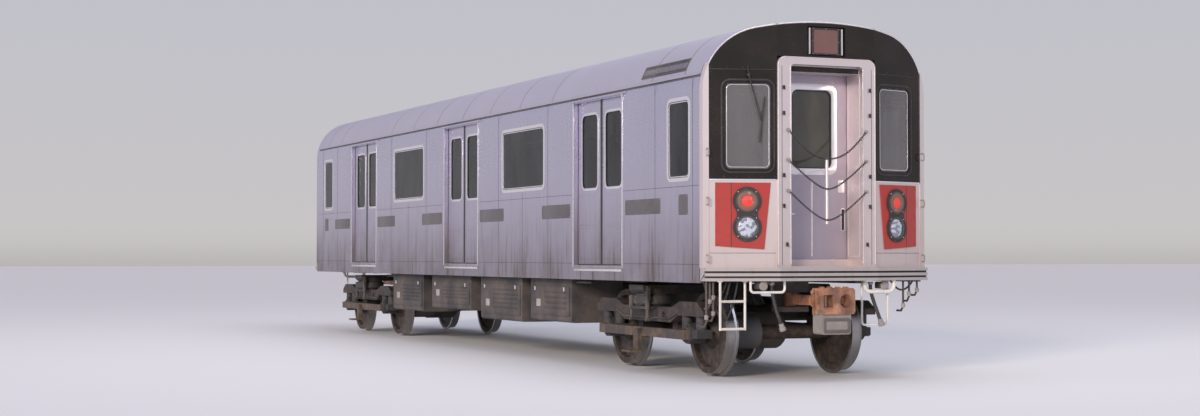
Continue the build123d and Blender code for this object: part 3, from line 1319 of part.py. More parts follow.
def main():
    """Every node of the car."""
    os.makedirs("parts", exist_ok=True)
    save("underframe", underframe())
    save("draft_gear", [draft_pocket(-1), draft_pocket(1), centre_pin(-1), centre_pin(1)])
    save("floor_panel", floor_panel())
    save("roof_shell", roof_shell())
    save("roof_units", [roof_unit(*unit) for unit in ROOF_UNITS])
    save("front_end_frame", front_end_frame())
    save("front_mask", front_mask())
    save("lamp_panels", both_sides(lamp_panel()))
    save("lamp_bezels", both_sides(lamp_bezel()))
    save("lamps", [*both_sides(lamp(TAIL_LAMP_Z)), *both_sides(lamp(HEAD_LAMP_Z))])
    save("wiper", wiper())
    save("destination_sign", destination_sign())
    save("anticlimbers", [anticlimber(-1), anticlimber(1)])
    save("brackets_and_hooks", [*corner_brackets(), *chain_hooks(), chain_spreader()])
    save("rear_wall", rear_wall())
    for name, side in SIDES:
        save("side_wall_" + name, side_wall(side))
    frames = [window_frame(side, *window) for _, side in SIDES for window in SIDE_WINDOWS]
    save("window_frames", [*frames, *both_sides(windshield_frame())])
    panes = [side_glass(side, *window) for _, side in SIDES for window in SIDE_WINDOWS]
    save("window_glass", [*panes, *both_sides(windshield_glass())])
    save("ceiling_lining", ceiling_lining())
    save("benches", [bench(side, *ends) for _, side in SIDES for ends in BENCHES])
    rails = [handrail(side, *ends) for _, side in SIDES for ends in BENCHES]
    save("handrails", [*rails, *[centre_pole(y) for y in DOORWAYS]])
    save("cab_partition", cab_partition())
    save("cab_console", cab_console())
    save("cab_seat", cab_seat())
    save("step_ladders", [step_ladder(-1), step_ladder(1)])
    save("underfloor_equipment", [*[equipment_box(*row) for row in EQUIPMENT], *[tank(*row) for row in TANKS]])
    save("end_pipes", [*end_pipes(-1), *end_pipes(1)])
    for name in CHAIN_ROUTES:
        save(name, chain(name))
    for name, end in (("front", -1), ("rear", 1)):
        centre = end * BOGIE_CENTRES / 2
        save("bogie_frame_" + name, [bogie_frame(centre), bogie_bolster(centre)])
        save("bogie_springs_" + name, bogie_springs(centre))
        save("traction_motors_" + name, traction_motors(centre))
        save("shoe_gear_" + name, shoe_gear(centre))
    for i, y in enumerate(axle_places()):
        save(f"wheelset_{i + 1}", wheelset(y))
    for name, side in SIDES:
        for i, centre in enumerate(DOORWAYS):
            for letter, way in (("a", -1), ("b", 1)):
                save(f"door_{name}_{i + 1}{letter}", side_door_leaf(side, centre, way))
    save("end_door_front", end_door(FRONT_DOOR_Y, -1))
    save("end_door_rear", end_door(REAR_DOOR_Y, 1))
    save("cab_door", cab_door())
    save("coupler_front", front_coupler())
    save("drawbar_rear", rear_drawbar())


main()
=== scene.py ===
"""Looks of a stainless steel metro cab car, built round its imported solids.

Metres, +Z up, the cab end towards -Y, +X to the car's left side.
"""

import json
import logging
import math
from bisect import bisect_left
from dataclasses import dataclass, field
from enum import Enum
from functools import cache
from itertools import accumulate
from typing import Callable, Iterable, Optional, Sequence

import bmesh
import bpy
from mathutils import Matrix, Vector


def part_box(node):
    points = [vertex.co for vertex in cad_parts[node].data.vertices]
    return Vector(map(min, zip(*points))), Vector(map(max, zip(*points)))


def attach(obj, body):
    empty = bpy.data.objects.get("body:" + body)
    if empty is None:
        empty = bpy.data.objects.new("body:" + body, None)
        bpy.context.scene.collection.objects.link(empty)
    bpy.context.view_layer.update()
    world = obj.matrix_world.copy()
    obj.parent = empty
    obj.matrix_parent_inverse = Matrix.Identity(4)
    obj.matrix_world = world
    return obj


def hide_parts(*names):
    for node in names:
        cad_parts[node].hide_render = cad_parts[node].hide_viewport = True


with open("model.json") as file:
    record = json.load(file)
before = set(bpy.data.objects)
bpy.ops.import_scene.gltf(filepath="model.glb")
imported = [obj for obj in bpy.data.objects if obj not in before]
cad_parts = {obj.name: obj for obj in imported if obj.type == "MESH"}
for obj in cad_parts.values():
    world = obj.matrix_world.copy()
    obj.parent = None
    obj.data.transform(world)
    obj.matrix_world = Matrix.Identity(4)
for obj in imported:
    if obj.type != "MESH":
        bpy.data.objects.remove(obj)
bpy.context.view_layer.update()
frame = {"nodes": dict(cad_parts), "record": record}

LOG = logging.getLogger("metro_car")
Point2 = tuple[float, float]
Point3 = tuple[float, float, float]
Colour = tuple[float, float, float]
Loop = Sequence[Point2]
Box = tuple[float, float, float, float]


class Side(Enum):
    """A side of the car; the value is the sign of its x."""

    RIGHT = -1
    LEFT = 1


class End(Enum):
    """An end of the car; the value is the sign of its y."""

    FRONT = -1
    REAR = 1


class Grain(Enum):
    """The way a brushed surface's grain runs; the value stretches the noise across it."""

    ALONG = (60.0, 0.8, 60.0)
    UPRIGHT = (60.0, 60.0, 0.8)


def _operator(operation: str, swapped: bool = False) -> Callable[["Signal", object], "Signal"]:
    """A method that adds a Math node.

    Args:
        operation: the node's operation.
        swapped: whether the signal comes second.

    Returns:
        The method.
    """

    def method(self: "Signal", other: object) -> "Signal":
        """The result for this and the other, which is a signal or a number."""
        first, second = (other, self) if swapped else (self, other)
        return self.graph.signal("ShaderNodeMath", {"operation": operation}, {0: first, 1: second})

    return method


class Signal:
    """A shader socket's output, with arithmetic that adds Math nodes."""

    def __init__(self, graph: "NodeGraph", socket: bpy.types.NodeSocket) -> None:
        """Wraps a socket of a graph."""
        self.graph = graph
        self.socket = socket

    __add__ = __radd__ = _operator("ADD")
    __sub__ = _operator("SUBTRACT")
    __rsub__ = _operator("SUBTRACT", swapped=True)
    __mul__ = __rmul__ = _operator("MULTIPLY")
    __pow__ = _operator("POWER")

    def above(self, level: float, width: float) -> "Signal":
        """A soft step from 0 to 1.

        Args:
            level: where the step is half way.
            width: how wide the step is.

        Returns:
            0 below the step and 1 above it.
        """
        settings = {"interpolation_type": "SMOOTHSTEP"}
        inputs = {"Value": self, "From Min": level - width / 2, "From Max": level + width / 2}
        return self.graph.signal("ShaderNodeMapRange", settings, inputs)

    def spread(self, low: float, high: float) -> "Signal":
        """This, from 0 to 1, spread between two numbers."""
        return self * (high - low) + low


class NodeGraph:
    """A tree of shader nodes."""

    def __init__(self, tree: bpy.types.NodeTree) -> None:
        """Wraps a tree."""
        self.tree = tree

    def node(self, kind: str, settings: dict[str, object], inputs: dict[object, object]) -> bpy.types.Node:
        """Adds any node.

        Args:
            kind: the node's type.
            settings: its properties, or a ramp's stops as places and colours from the lowest.
            inputs: socket names or numbers to signals or values.

        Returns:
            The node.
        """
        made = self.tree.nodes.new(kind)
        for key, value in settings.items():
            if key == "stops":
                self._set_stops(made.color_ramp.elements, value)
            else:
                setattr(made, key, value)
        for key, value in inputs.items():
            self.feed(made.inputs[key], value)
        return made

    def feed(self, socket: bpy.types.NodeSocket, value: object) -> None:
        """Links a signal to a socket, or sets the socket's value; a colour is given its alpha.

        Args:
            socket: the socket.
            value: a signal or a value.
        """
        if isinstance(value, Signal):
            self.tree.links.new(value.socket, socket)
        elif socket.type == "RGBA":
            socket.default_value = (*value, 1.0)
        else:
            socket.default_value = value

    @staticmethod
    def _set_stops(elements: bpy.types.ColorRampElements, stops: Sequence[tuple[float, Colour]]) -> None:
        """Sets a ramp's stops.

        Args:
            elements: the ramp's own stops.
            stops: each stop's place and colour, from the lowest.
        """
        while len(elements) < len(stops):
            elements.new(0.5)
        for element, (place, colour) in zip(elements, stops):
            element.position = place
            element.color = (*colour, 1.0)

    def signal(
        self, kind: str, settings: dict[str, object], inputs: dict[object, object], output: object = 0
    ) -> Signal:
        """Adds a node as node() does, and wraps its output of a name or number."""
        return Signal(self, self.node(kind, settings, inputs).outputs[output])


class ShaderGraph(NodeGraph):
    """One material's nodes."""

    def __init__(self, name: str) -> None:
        """Makes a material with one Principled shader.

        Args:
            name: the material's name.
        """
        self.material = bpy.data.materials.new(name)
        self.material.use_nodes = True
        super().__init__(self.material.node_tree)
        self.shader = self.tree.nodes["Principled BSDF"]
        self._place: Optional[Signal] = None

    def place(self) -> Signal:
        """The shaded point in its object's own coordinates, which are the car's.

        Returns:
            The point, found once.
        """
        if self._place is None:
            self._place = self.signal("ShaderNodeTexCoord", {}, {}, "Object")
        return self._place

    def axis(self, name: str) -> Signal:
        """One coordinate of the shaded point; name is X, Y or Z."""
        return self.signal("ShaderNodeSeparateXYZ", {}, {0: self.place()}, name)

    def stretched(self, scale: Point3) -> Signal:
        """The shaded point with its axes scaled."""
        return self.signal("ShaderNodeVectorMath", {"operation": "MULTIPLY"}, {0: self.place(), 1: scale})

    def noise(self, scale: float, detail: float = 4.0, rough: float = 0.55, where: Optional[Signal] = None) -> Signal:
        """Fractal noise about a half: features per metre, octaves, the finer ones' strength and coordinates."""
        inputs = {"Vector": where or self.place(), "Scale": scale, "Detail": detail, "Roughness": rough}
        return self.signal("ShaderNodeTexNoise", {}, inputs)

    def blend(self, low: object, high: object, factor: object) -> Signal:
        """A colour between low, where the factor is 0, and high, where it is 1."""
        return self.signal("ShaderNodeMix", {"data_type": "RGBA"}, {0: factor, 6: low, 7: high}, 2)

    def set(self, **inputs: object) -> None:
        """Sets the shader's sockets; an underscore in a name stands for a space."""
        for key, value in inputs.items():
            self.feed(self.shader.inputs[key.replace("_", " ")], value)

    def bump(self, height: Signal, distance: float, strength: float = 1.0, under: Optional[Signal] = None) -> Signal:
        """A bumped normal.

        Args:
            height: from 0 to 1.
            distance: metres from its lowest to its highest.
            strength: the bump's strength.
            under: a bumped normal below this one.

        Returns:
            The normal.
        """
        inputs: dict[object, object] = {"Height": height, "Distance": distance, "Strength": strength}
        if under is not None:
            inputs["Normal"] = under
        return self.signal("ShaderNodeBump", {}, inputs)


@dataclass(frozen=True)
class Finish:
    """A surface's finish; each kind says how its material is made."""

    name: str
    colour: Colour

    @cache
    def material(self) -> bpy.types.Material:
        """Makes the finish's material, once.

        Returns:
            The material.
        """
        graph = ShaderGraph(self.name)
        self.dress(graph)
        return graph.material

    def dress(self, graph: ShaderGraph) -> None:
        """Sets the graph's shader, each kind in its own way."""
        graph.set(Base_Color=self.colour)

    def uneven(self, graph: ShaderGraph, deep: float, pale: float, lift: float, factor: Signal) -> Signal:
        """The finish's colour, mottled between a deep and a pale multiple; lift is added to the pale one."""
        low = tuple(c * deep for c in self.colour)
        return graph.blend(low, tuple(min(1.0, c * pale + lift) for c in self.colour), factor)


@dataclass(frozen=True)
class BrushedSteel(Finish):
    """Brushed stainless sheet: fine grain, slow waves in the sheet, a dark tone that thickens low down and faint run
    marks; that low tone is dust, and on the car's sides mostly painted shade and a painted ballast reflection.
    """

    roughness: float = 0.34
    grain: Grain = Grain.ALONG
    waves: float = 0.0016
    dust: Colour = (0.30, 0.25, 0.21)
    dust_amount: float = 0.35
    dust_top: float = 1.7
    metallic: float = 0.82

    def dress(self, graph: ShaderGraph) -> None:
        """Sets the graph's shader.

        Args:
            graph: the material's nodes.
        """
        grain = graph.noise(7.0, 6.0, 0.7, graph.stretched(self.grain.value))
        slow = graph.noise(0.9, 2.0, 0.4)
        blotch = graph.noise(2.3, 5.0, 0.6)
        bands = graph.noise(1.3, 3.0, 0.5, graph.stretched((1.0, 1.0, 0.16)))
        runs = graph.noise(5.0, 4.0, 0.6, graph.stretched((3.0, 3.0, 0.22))).above(0.62, 0.24)
        # the dark tone low down: dust, and in the sides' finish mostly painted shade and a painted ballast reflection
        low = 1 - graph.axis("Z").above(self.dust_top, 1.6)
        film = low * (bands * 0.6 + blotch * 0.4).spread(0.25, 1.15)
        dust = (film + runs * low.spread(0.04, 0.22)) * self.dust_amount
        metal = self.uneven(graph, 0.86, 1.07, 0.0, grain * 0.45 + slow * 0.55)
        graph.set(
            Base_Color=graph.blend(metal, self.dust, dust),
            Metallic=1 - dust * 0.7 - (1 - self.metallic),
            Roughness=grain.spread(-0.10, 0.12) + blotch.spread(-0.03, 0.05) + dust * 0.3 + self.roughness,
            Normal=graph.bump(grain, 0.00022, 0.55, graph.bump(slow, self.waves)),
        )


@dataclass(frozen=True)
class Paint(Finish):
    """Paint or a painted casting: uneven tone, chips to what is below, and dirt from below."""

    under: Colour = (0.20, 0.12, 0.08)
    chips: float = 0.0
    dirt: Colour = (0.16, 0.13, 0.11)
    dirt_amount: float = 0.25
    roughness: float = 0.45
    coat: float = 0.0
    orange_peel: float = 0.0003
    metallic: float = 0.0
    ior: float = 1.5

    def dress(self, graph: ShaderGraph) -> None:
        """Sets the graph's shader.

        Args:
            graph: the material's nodes.
        """
        tone = graph.noise(3.0, 5.0, 0.6)
        fine = graph.noise(55.0, 4.0, 0.65)
        patch = graph.noise(11.0, 8.0, 0.72)
        dirt = graph.noise(1.7, 6.0, 0.65).above(0.5, 0.35) * self.dirt_amount
        worn = patch.above(1.0 - self.chips, 0.05) if self.chips else tone * 0.0
        chipped = graph.blend(self.uneven(graph, 0.82, 1.12, 0.004, tone), self.under, worn)
        graph.set(
            Base_Color=graph.blend(chipped, self.dirt, dirt),
            Roughness=fine.spread(-0.08, 0.10) + dirt * 0.35 + worn * 0.25 + self.roughness,
            Normal=graph.bump(fine * 0.6 + tone * 0.4 - worn * 0.8, self.orange_peel, 0.8),
            Metallic=self.metallic,
            IOR=self.ior,
            Coat_Weight=self.coat,
            Coat_Roughness=0.12,
        )


@dataclass(frozen=True)
class Rust(Finish):
    """Bare or primed iron gone rusty, with darker scale and oily patches."""

    pale: Colour = (0.62, 0.33, 0.18)
    dark: Colour = (0.11, 0.06, 0.045)
    roughness: float = 0.72
    depth: float = 0.0012
    metallic: float = 0.15

    def dress(self, graph: ShaderGraph) -> None:
        """Sets the graph's shader.

        Args:
            graph: the material's nodes.
        """
        patch = graph.noise(9.0, 8.0, 0.68)
        fine = graph.noise(70.0, 5.0, 0.7)
        oil = graph.noise(3.1, 4.0, 0.6).above(0.56, 0.18)
        colour = graph.blend(self.colour, self.pale, patch.above(0.52, 0.28))
        colour = graph.blend(colour, self.dark, oil * 0.8)
        rough = fine.spread(-0.12, 0.12) - oil * 0.22 + self.roughness
        normal = graph.bump(fine * 0.5 + patch * 0.5, self.depth, 0.8)
        graph.set(Base_Color=colour, Roughness=rough, Metallic=self.metallic, Normal=normal)


@dataclass(frozen=True)
class Plastic(Finish):
    """Moulded plastic or rubber: a fine texture, scuffs and a little dust."""

    second: Colour = (0.0, 0.0, 0.0)
    speckle: float = 0.0
    roughness: float = 0.5
    texture: float = 0.0003
    scuffs: float = 0.15

    def dress(self, graph: ShaderGraph) -> None:
        """Sets the graph's shader.

        Args:
            graph: the material's nodes.
        """
        fine = graph.noise(160.0, 3.0, 0.6)
        tone = graph.noise(4.0, 4.0, 0.6)
        scuff = graph.noise(24.0, 6.0, 0.7, graph.stretched((1.0, 0.35, 1.6))).above(0.60, 0.12) * self.scuffs
        colour = self.uneven(graph, 0.88, 1.1, 0.01, tone)
        if self.speckle:
            specks = graph.noise(240.0, 1.0, 0.5).above(1.0 - self.speckle, 0.04)
            colour = graph.blend(colour, self.second, specks)
        colour = graph.blend(colour, (0.32, 0.30, 0.28), scuff)
        rough = fine.spread(-0.06, 0.08) + scuff * 0.5 + self.roughness
        graph.set(Base_Color=colour, Roughness=rough, Normal=graph.bump(fine, self.texture, 0.6))


@dataclass(frozen=True)
class Glazing(Finish):
    """A tinted pane that shows what is behind it, with a film of dust towards its lower edge."""

    see_through: float = 0.5
    film: float = 0.10
    roughness: float = 0.05
    ior: float = 1.5
    coat: float = 0.6

    def dress(self, graph: ShaderGraph) -> None:
        """Sets the graph's shader.

        Args:
            graph: the material's nodes.
        """
        smear = graph.noise(3.0, 5.0, 0.6, graph.stretched((1.0, 1.0, 0.35)))
        film = smear.above(0.5, 0.5) * self.film
        graph.set(
            Base_Color=graph.blend(self.colour, (0.42, 0.40, 0.37), film),
            Roughness=film * 1.4 + self.roughness,
            Alpha=film * 1.2 + (1 - self.see_through),
            IOR=self.ior,
            Coat_Weight=self.coat,
            Coat_Roughness=0.02,
        )


@dataclass(frozen=True)
class Lens(Finish):
    """A moulded lens with a grid of fine flutes; on the headlamps, dark patches are painted reflections."""

    glow: float = 0.0
    flute: float = 90.0
    clear: float = 0.0
    shade: Colour = (0.10, 0.11, 0.16)
    shaded: float = 0.0

    def dress(self, graph: ShaderGraph) -> None:
        """Sets the graph's shader.

        Args:
            graph: the material's nodes.
        """
        wave = {"Vector": graph.place(), "Scale": self.flute, "Distortion": 0.0}
        across, upright = (graph.signal("ShaderNodeTexWave", {"bands_direction": way}, wave, 1) for way in "XZ")
        tone = graph.noise(14.0, 3.0, 0.5)
        # dark patches blended into the colour: painted reflections
        reflection_patches = graph.noise(19.0, 1.0, 0.4, graph.stretched((1.0, 1.0, 1.4))).above(0.50, 0.06)
        graph.set(
            Base_Color=graph.blend(self.uneven(graph, 0.8, 1.0, 0.0, tone), self.shade, reflection_patches * self.shaded),
            Roughness=tone.spread(0.05, 0.22),
            Normal=graph.bump(across * upright, 0.0016, 0.8),
            Alpha=1.0 - self.clear,
            Coat_Weight=0.8,
            Coat_Roughness=0.03,
            Emission_Color=self.colour,
            Emission_Strength=self.glow,
        )


@dataclass(frozen=True)
class Mirror(Finish):
    """Bright plated metal such as a lamp's bowl."""

    roughness: float = 0.08

    def dress(self, graph: ShaderGraph) -> None:
        """Sets the graph's shader.

        Args:
            graph: the material's nodes.
        """
        haze = graph.noise(30.0, 4.0, 0.6)
        graph.set(Base_Color=self.colour, Metallic=1.0, Roughness=haze.spread(-0.03, 0.10) + self.roughness)


@dataclass(frozen=True)
class WheelSteel(Finish):
    """Rolled wheel steel: rusty web and axle, the tread and flange polished by the rail; its colours are kept very
    dark, partly as painted shade under the car.
    """

    axle_y: float = 0.0
    axle_z: float = 0.46
    tread_r: float = 0.4285
    # the tread's dull colour and the dark rust are partly painted shade under the car
    bright: Colour = (0.30, 0.285, 0.28)
    rust: Colour = (0.095, 0.064, 0.048)

    def dress(self, graph: ShaderGraph) -> None:
        """Sets the graph's shader.

        Args:
            graph: the material's nodes.
        """
        dy = graph.axis("Y") - self.axle_y
        dz = graph.axis("Z") - self.axle_z
        polished = ((dy * dy + dz * dz) ** 0.5).above(self.tread_r, 0.006)
        patch = graph.noise(12.0, 7.0, 0.68)
        fine = graph.noise(60.0, 4.0, 0.7)
        rust = graph.blend(self.colour, self.rust, patch.above(0.55, 0.35))
        graph.set(
            Base_Color=graph.blend(rust, self.bright, polished),
            Metallic=polished.spread(0.25, 1.0),
            Roughness=polished.spread(0.68, 0.24) + fine.spread(-0.06, 0.06),
            Normal=graph.bump(fine * (1 - polished * 0.9), 0.0008, 0.7),
        )


@dataclass(frozen=True)
class Lamp(Finish):
    """A lit diffuser."""

    strength: float = 1.0

    def dress(self, graph: ShaderGraph) -> None:
        """Sets the graph's shader.

        Args:
            graph: the material's nodes.
        """
        colour = self.uneven(graph, 0.94, 1.0, 0.0, graph.noise(6.0, 2.0, 0.4))
        graph.set(Base_Color=colour, Roughness=0.5, Emission_Color=self.colour, Emission_Strength=self.strength)


def unit(vector: Sequence[float]) -> Vector:
    """A vector of length 1."""
    return Vector(vector).normalized()


def linked(name: str, data: object) -> bpy.types.Object:
    """Puts a new object in the scene.

    Args:
        name: its name.
        data: its mesh, curve, light or camera.

    Returns:
        The object.
    """
    made = bpy.data.objects.new(name, data)
    bpy.context.scene.collection.objects.link(made)
    return made


def mesh_of(curve: bpy.types.Curve, kind: str, lines: Iterable[Sequence[Sequence[float]]]) -> bpy.types.Mesh:
    """Draws splines on a curve, turns it into a mesh and deletes the curve.

    Args:
        curve: the curve with its settings.
        kind: the splines' type, POLY for closed outlines or NURBS for an open line.
        lines: each spline's points.

    Returns:
        The mesh, to be removed once it is read.
    """
    for line in lines:
        spline = curve.splines.new(kind)
        spline.points.add(len(line) - 1)
        for point, place in zip(spline.points, line):
            point.co = (*place, 1.0)
        if kind == "POLY":
            spline.use_cyclic_u = True
        else:
            spline.use_endpoint_u = True
            spline.order_u = 3
    holder = linked(curve.name, curve)
    bpy.context.view_layer.update()
    mesh = bpy.data.meshes.new_from_object(holder.evaluated_get(bpy.context.evaluated_depsgraph_get()))
    bpy.data.objects.remove(holder)
    bpy.data.curves.remove(curve)
    return mesh


@dataclass(frozen=True)
class Flat:
    """A flat place on the car: local x and y lie in it and z stands out of it."""

    origin: Point3
    right: Point3
    up: Point3
    out: Point3

    def matrix(self) -> Matrix:
        """From local to the car's coordinates."""
        columns = Matrix((self.right, self.up, self.out)).transposed().to_4x4()
        return Matrix.Translation(Vector(self.origin)) @ columns

    def at(self, x: float, y: float, proud: float = 0.0) -> Vector:
        """The place of a local point."""
        return self.matrix() @ Vector((x, y, proud))


X = (1.0, 0.0, 0.0)
Y = (0.0, 1.0, 0.0)
Z = (0.0, 0.0, 1.0)
BOTH = (Side.RIGHT, Side.LEFT)
DOORWAYS = (-4.72, 0.0, 4.72)
# each leaf's body with its side, its doorway's middle and the way from there to its pocket
LEAVES: dict[str, tuple[Side, float, int]] = {
    f"door_{side.name.lower()}_{index}{letter}": (side, centre, way)
    for side in BOTH
    for index, centre in enumerate(DOORWAYS, 1)
    for letter, way in (("a", -1), ("b", 1))
}
FRONT_Y = -7.62
PORTAL_HALF = 0.575
BODY_HALF = 1.31
SWEEP_ANGLE = math.atan2(0.22, BODY_HALF - PORTAL_HALF)


def front_flat(y: float = FRONT_Y) -> Flat:
    """The plane across the car that faces forwards at y."""
    return Flat((0.0, y, 0.0), X, Z, (0.0, -1.0, 0.0))


def rear_flat(y: float) -> Flat:
    """The plane across the car that faces backwards at y."""
    return Flat((0.0, y, 0.0), X, Z, Y)


def side_flat(side: Side, x: float = BODY_HALF) -> Flat:
    """The plane along the car at x that faces out of one side; its local x is the car's y."""
    return Flat((side.value * x, 0.0, 0.0), Y, Z, (float(side.value), 0.0, 0.0))


def leaning_flat(side: Side, place: Point2, up: Point2, out: Point2) -> Flat:
    """A plane along the car that leans; its local x is the car's y.

    Args:
        side: the car's side.
        place: its origin's distance from the car's middle, and height.
        up: the way up it, likewise.
        out: the way out of it, likewise.

    Returns:
        The plane.
    """
    start, *ways = ((side.value * x, 0.0, z) for x, z in (place, up, out))
    return Flat(start, Y, *(tuple(unit(way)) for way in ways))


def facet_flat(side: Side) -> Flat:
    """A front facet's plane; its local x runs outwards from the portal."""
    c, s = math.cos(SWEEP_ANGLE), math.sin(SWEEP_ANGLE)
    return Flat((side.value * PORTAL_HALF, FRONT_Y, 0.0), (side.value * c, s, 0.0), Z, (side.value * s, -c, 0.0))


def on_facet(x: float) -> float:
    """The distance along a facet of a place x from the car's centre line."""
    return (x - PORTAL_HALF) / math.cos(SWEEP_ANGLE)


def rounded(x0: float, x1: float, y0: float, y1: float, radius: float, steps: int = 6) -> Loop:
    """A rectangle's outline with round corners.

    Args:
        x0: its left.
        x1: its right.
        y0: its bottom.
        y1: its top.
        radius: the corners' radius.
        steps: points in each corner less one.

    Returns:
        The outline's points.
    """
    points = []
    left, right, low, high = x0 + radius, x1 - radius, y0 + radius, y1 - radius
    for quarter, (cx, cy) in enumerate(((right, high), (left, high), (left, low), (right, low))):
        for i in range(steps + 1):
            angle = (quarter + i / steps) * math.pi / 2
            points.append((cx + radius * math.cos(angle), cy + radius * math.sin(angle)))
    return points


def band(box: Box, outset: float, inset: float, outer_r: float, inner_r: float, steps: int = 6) -> list[Loop]:
    """The outer and inner outlines of a frame that follows a rectangle.

    Args:
        box: the rectangle's left, right, bottom and top.
        outset: how far outside the rectangle the frame ends; inside where negative.
        inset: how far inside the rectangle the frame's opening begins.
        outer_r: the outer corners' radius.
        inner_r: the inner corners' radius.
        steps: points in each corner less one.

    Returns:
        The two outlines.
    """
    x0, x1, y0, y1 = box
    outer = rounded(x0 - outset, x1 + outset, y0 - outset, y1 + outset, outer_r, steps)
    return [outer, rounded(x0 + inset, x1 - inset, y0 + inset, y1 - inset, inner_r, steps)]


def strip(x: float, half: float, y0: float, y1: float, radius: float, steps: int = 2) -> list[Loop]:
    """A narrow upright strip's outline about x, from y0 to y1, as a plate's only loop."""
    return [rounded(x - half, x + half, y0, y1, radius, steps)]


def circle(x: float, y: float, radius: float, steps: int = 40) -> list[Point2]:
    """A circle's outline."""
    turns = (2 * math.pi * i / steps for i in range(steps))
    return [(x + radius * math.cos(a), y + radius * math.sin(a)) for a in turns]


class Ends(Enum):
    """What closes a surface that runs through rings."""

    CAPPED = "capped"
    OPEN = "open"
    JOINED = "joined"


class Form:
    """Points and faces gathered from simple solids, then made one smooth-shaded piece."""

    def __init__(self) -> None:
        """Starts empty."""
        self.points: list[Vector] = []
        self.faces: list[tuple[int, ...]] = []

    def add(self, points: Iterable[Vector], faces: Iterable[Sequence[int]], matrix: Optional[Matrix] = None) -> "Form":
        """Adds points and faces, moved by a matrix.

        Args:
            points: the points.
            faces: each face's point numbers.
            matrix: from their coordinates to the car's.

        Returns:
            This form.
        """
        start = len(self.points)
        self.points += [matrix @ Vector(p) if matrix else Vector(p) for p in points]
        self.faces += [tuple(start + i for i in face) for face in faces]
        return self

    def box(
        self, x: Point2, y: Point2, z: Point2, bevel: float = 0.004, segments: int = 2, matrix: Optional[Matrix] = None
    ) -> "Form":
        """Adds a box with rounded edges.

        Args:
            x: from and to.
            y: from and to.
            z: from and to.
            bevel: the edges' radius.
            segments: facets in each rounded edge.
            matrix: from the box's coordinates to the car's.

        Returns:
            This form.
        """
        low = Vector((min(x), min(y), min(z)))
        size = Vector((max(x), max(y), max(z))) - low
        bevel = min(bevel, min(size) * 0.45)
        mesh = bmesh.new()
        place = Matrix.Translation(low + size / 2) @ Matrix.Diagonal((*size, 1))
        bmesh.ops.create_cube(mesh, size=1.0, matrix=place)
        if bevel > 0:
            bmesh.ops.bevel(mesh, geom=mesh.edges[:], offset=bevel, segments=segments, affect="EDGES", profile=0.5)
        self._take_bmesh(mesh, matrix)
        return self

    def _take_bmesh(self, mesh: bmesh.types.BMesh, matrix: Optional[Matrix]) -> None:
        """Adds a bmesh's points and faces and frees it.

        Args:
            mesh: the bmesh.
            matrix: from its coordinates to the car's.
        """
        mesh.verts.index_update()
        faces = [tuple(v.index for v in face.verts) for face in mesh.faces]
        self.add([v.co.copy() for v in mesh.verts], faces, matrix)
        mesh.free()

    def skin(self, rings: Sequence[Sequence[Vector]], ends: Ends = Ends.CAPPED) -> "Form":
        """Adds a surface through rings of points.

        Args:
            rings: the rings, each with as many points.
            ends: what is done with the first and last ring.

        Returns:
            This form.
        """
        sides, count = len(rings[0]), len(rings)
        faces: list[tuple[int, ...]] = []
        for i in range(count if ends is Ends.JOINED else count - 1):
            a, b = i * sides, (i + 1) % count * sides
            faces += [(a + k, a + (k + 1) % sides, b + (k + 1) % sides, b + k) for k in range(sides)]
        if ends is Ends.CAPPED:
            faces += [tuple(range(sides)), tuple(range((count - 1) * sides, count * sides))]
        return self.add([point for ring in rings for point in ring], faces)

    def lathe(
        self, start: Sequence[float], axis: Sequence[float], profile: Sequence[Point2], sides: int = 24
    ) -> "Form":
        """Adds a turned solid.

        Args:
            start: where its axis starts.
            axis: the way that it runs.
            profile: radius and distance along the axis, from one end to the other.
            sides: facets round it.

        Returns:
            This form.
        """
        way = unit(axis)
        across = way.orthogonal().normalized()
        other = way.cross(across)
        turns = [2 * math.pi * i / sides for i in range(sides)]
        spokes = [across * math.cos(a) + other * math.sin(a) for a in turns]
        return self.skin([[Vector(start) + way * z + s * max(r, 1e-5) for s in spokes] for r, z in profile])

    def rod(
        self, start: Sequence[float], end: Sequence[float], radius: float, sides: int = 16, edge: float = 0.15
    ) -> "Form":
        """Adds a round bar with chamfered ends.

        Args:
            start: the middle of one end.
            end: the middle of the other.
            radius: its radius.
            sides: facets round it.
            edge: the chamfers' share of the radius.

        Returns:
            This form.
        """
        length = (Vector(end) - Vector(start)).length
        cut = min(radius * edge, length * 0.3)
        profile = [(radius - cut, 0.0), (radius, cut), (radius, length - cut), (radius - cut, length)]
        return self.lathe(start, Vector(end) - Vector(start), profile, sides)

    def tube(
        self, route: Sequence[Sequence[float]], radius: float, sides: int = 10, closed: bool = False
    ) -> "Form":
        """Adds a round bar along a route.

        Args:
            route: the points of its centre line.
            radius: its radius.
            sides: facets round it.
            closed: whether it ends where it starts.

        Returns:
            This form.
        """
        line = [Vector(p) for p in route]
        last = len(line) - 1
        turns = [2 * math.pi * k / sides for k in range(sides)]
        across: Optional[Vector] = None
        rings = []
        for i, place in enumerate(line):
            before = line[i - 1] if closed or i > 0 else place
            after = line[(i + 1) % len(line)] if closed or i < last else place
            way = unit(after - before)
            if across is None:
                across = way.orthogonal()
            across = (across - way * across.dot(way)).normalized()
            other = way.cross(across)
            rings.append([place + across * (radius * math.cos(a)) + other * (radius * math.sin(a)) for a in turns])
        return self.skin(rings, Ends.JOINED if closed else Ends.CAPPED)

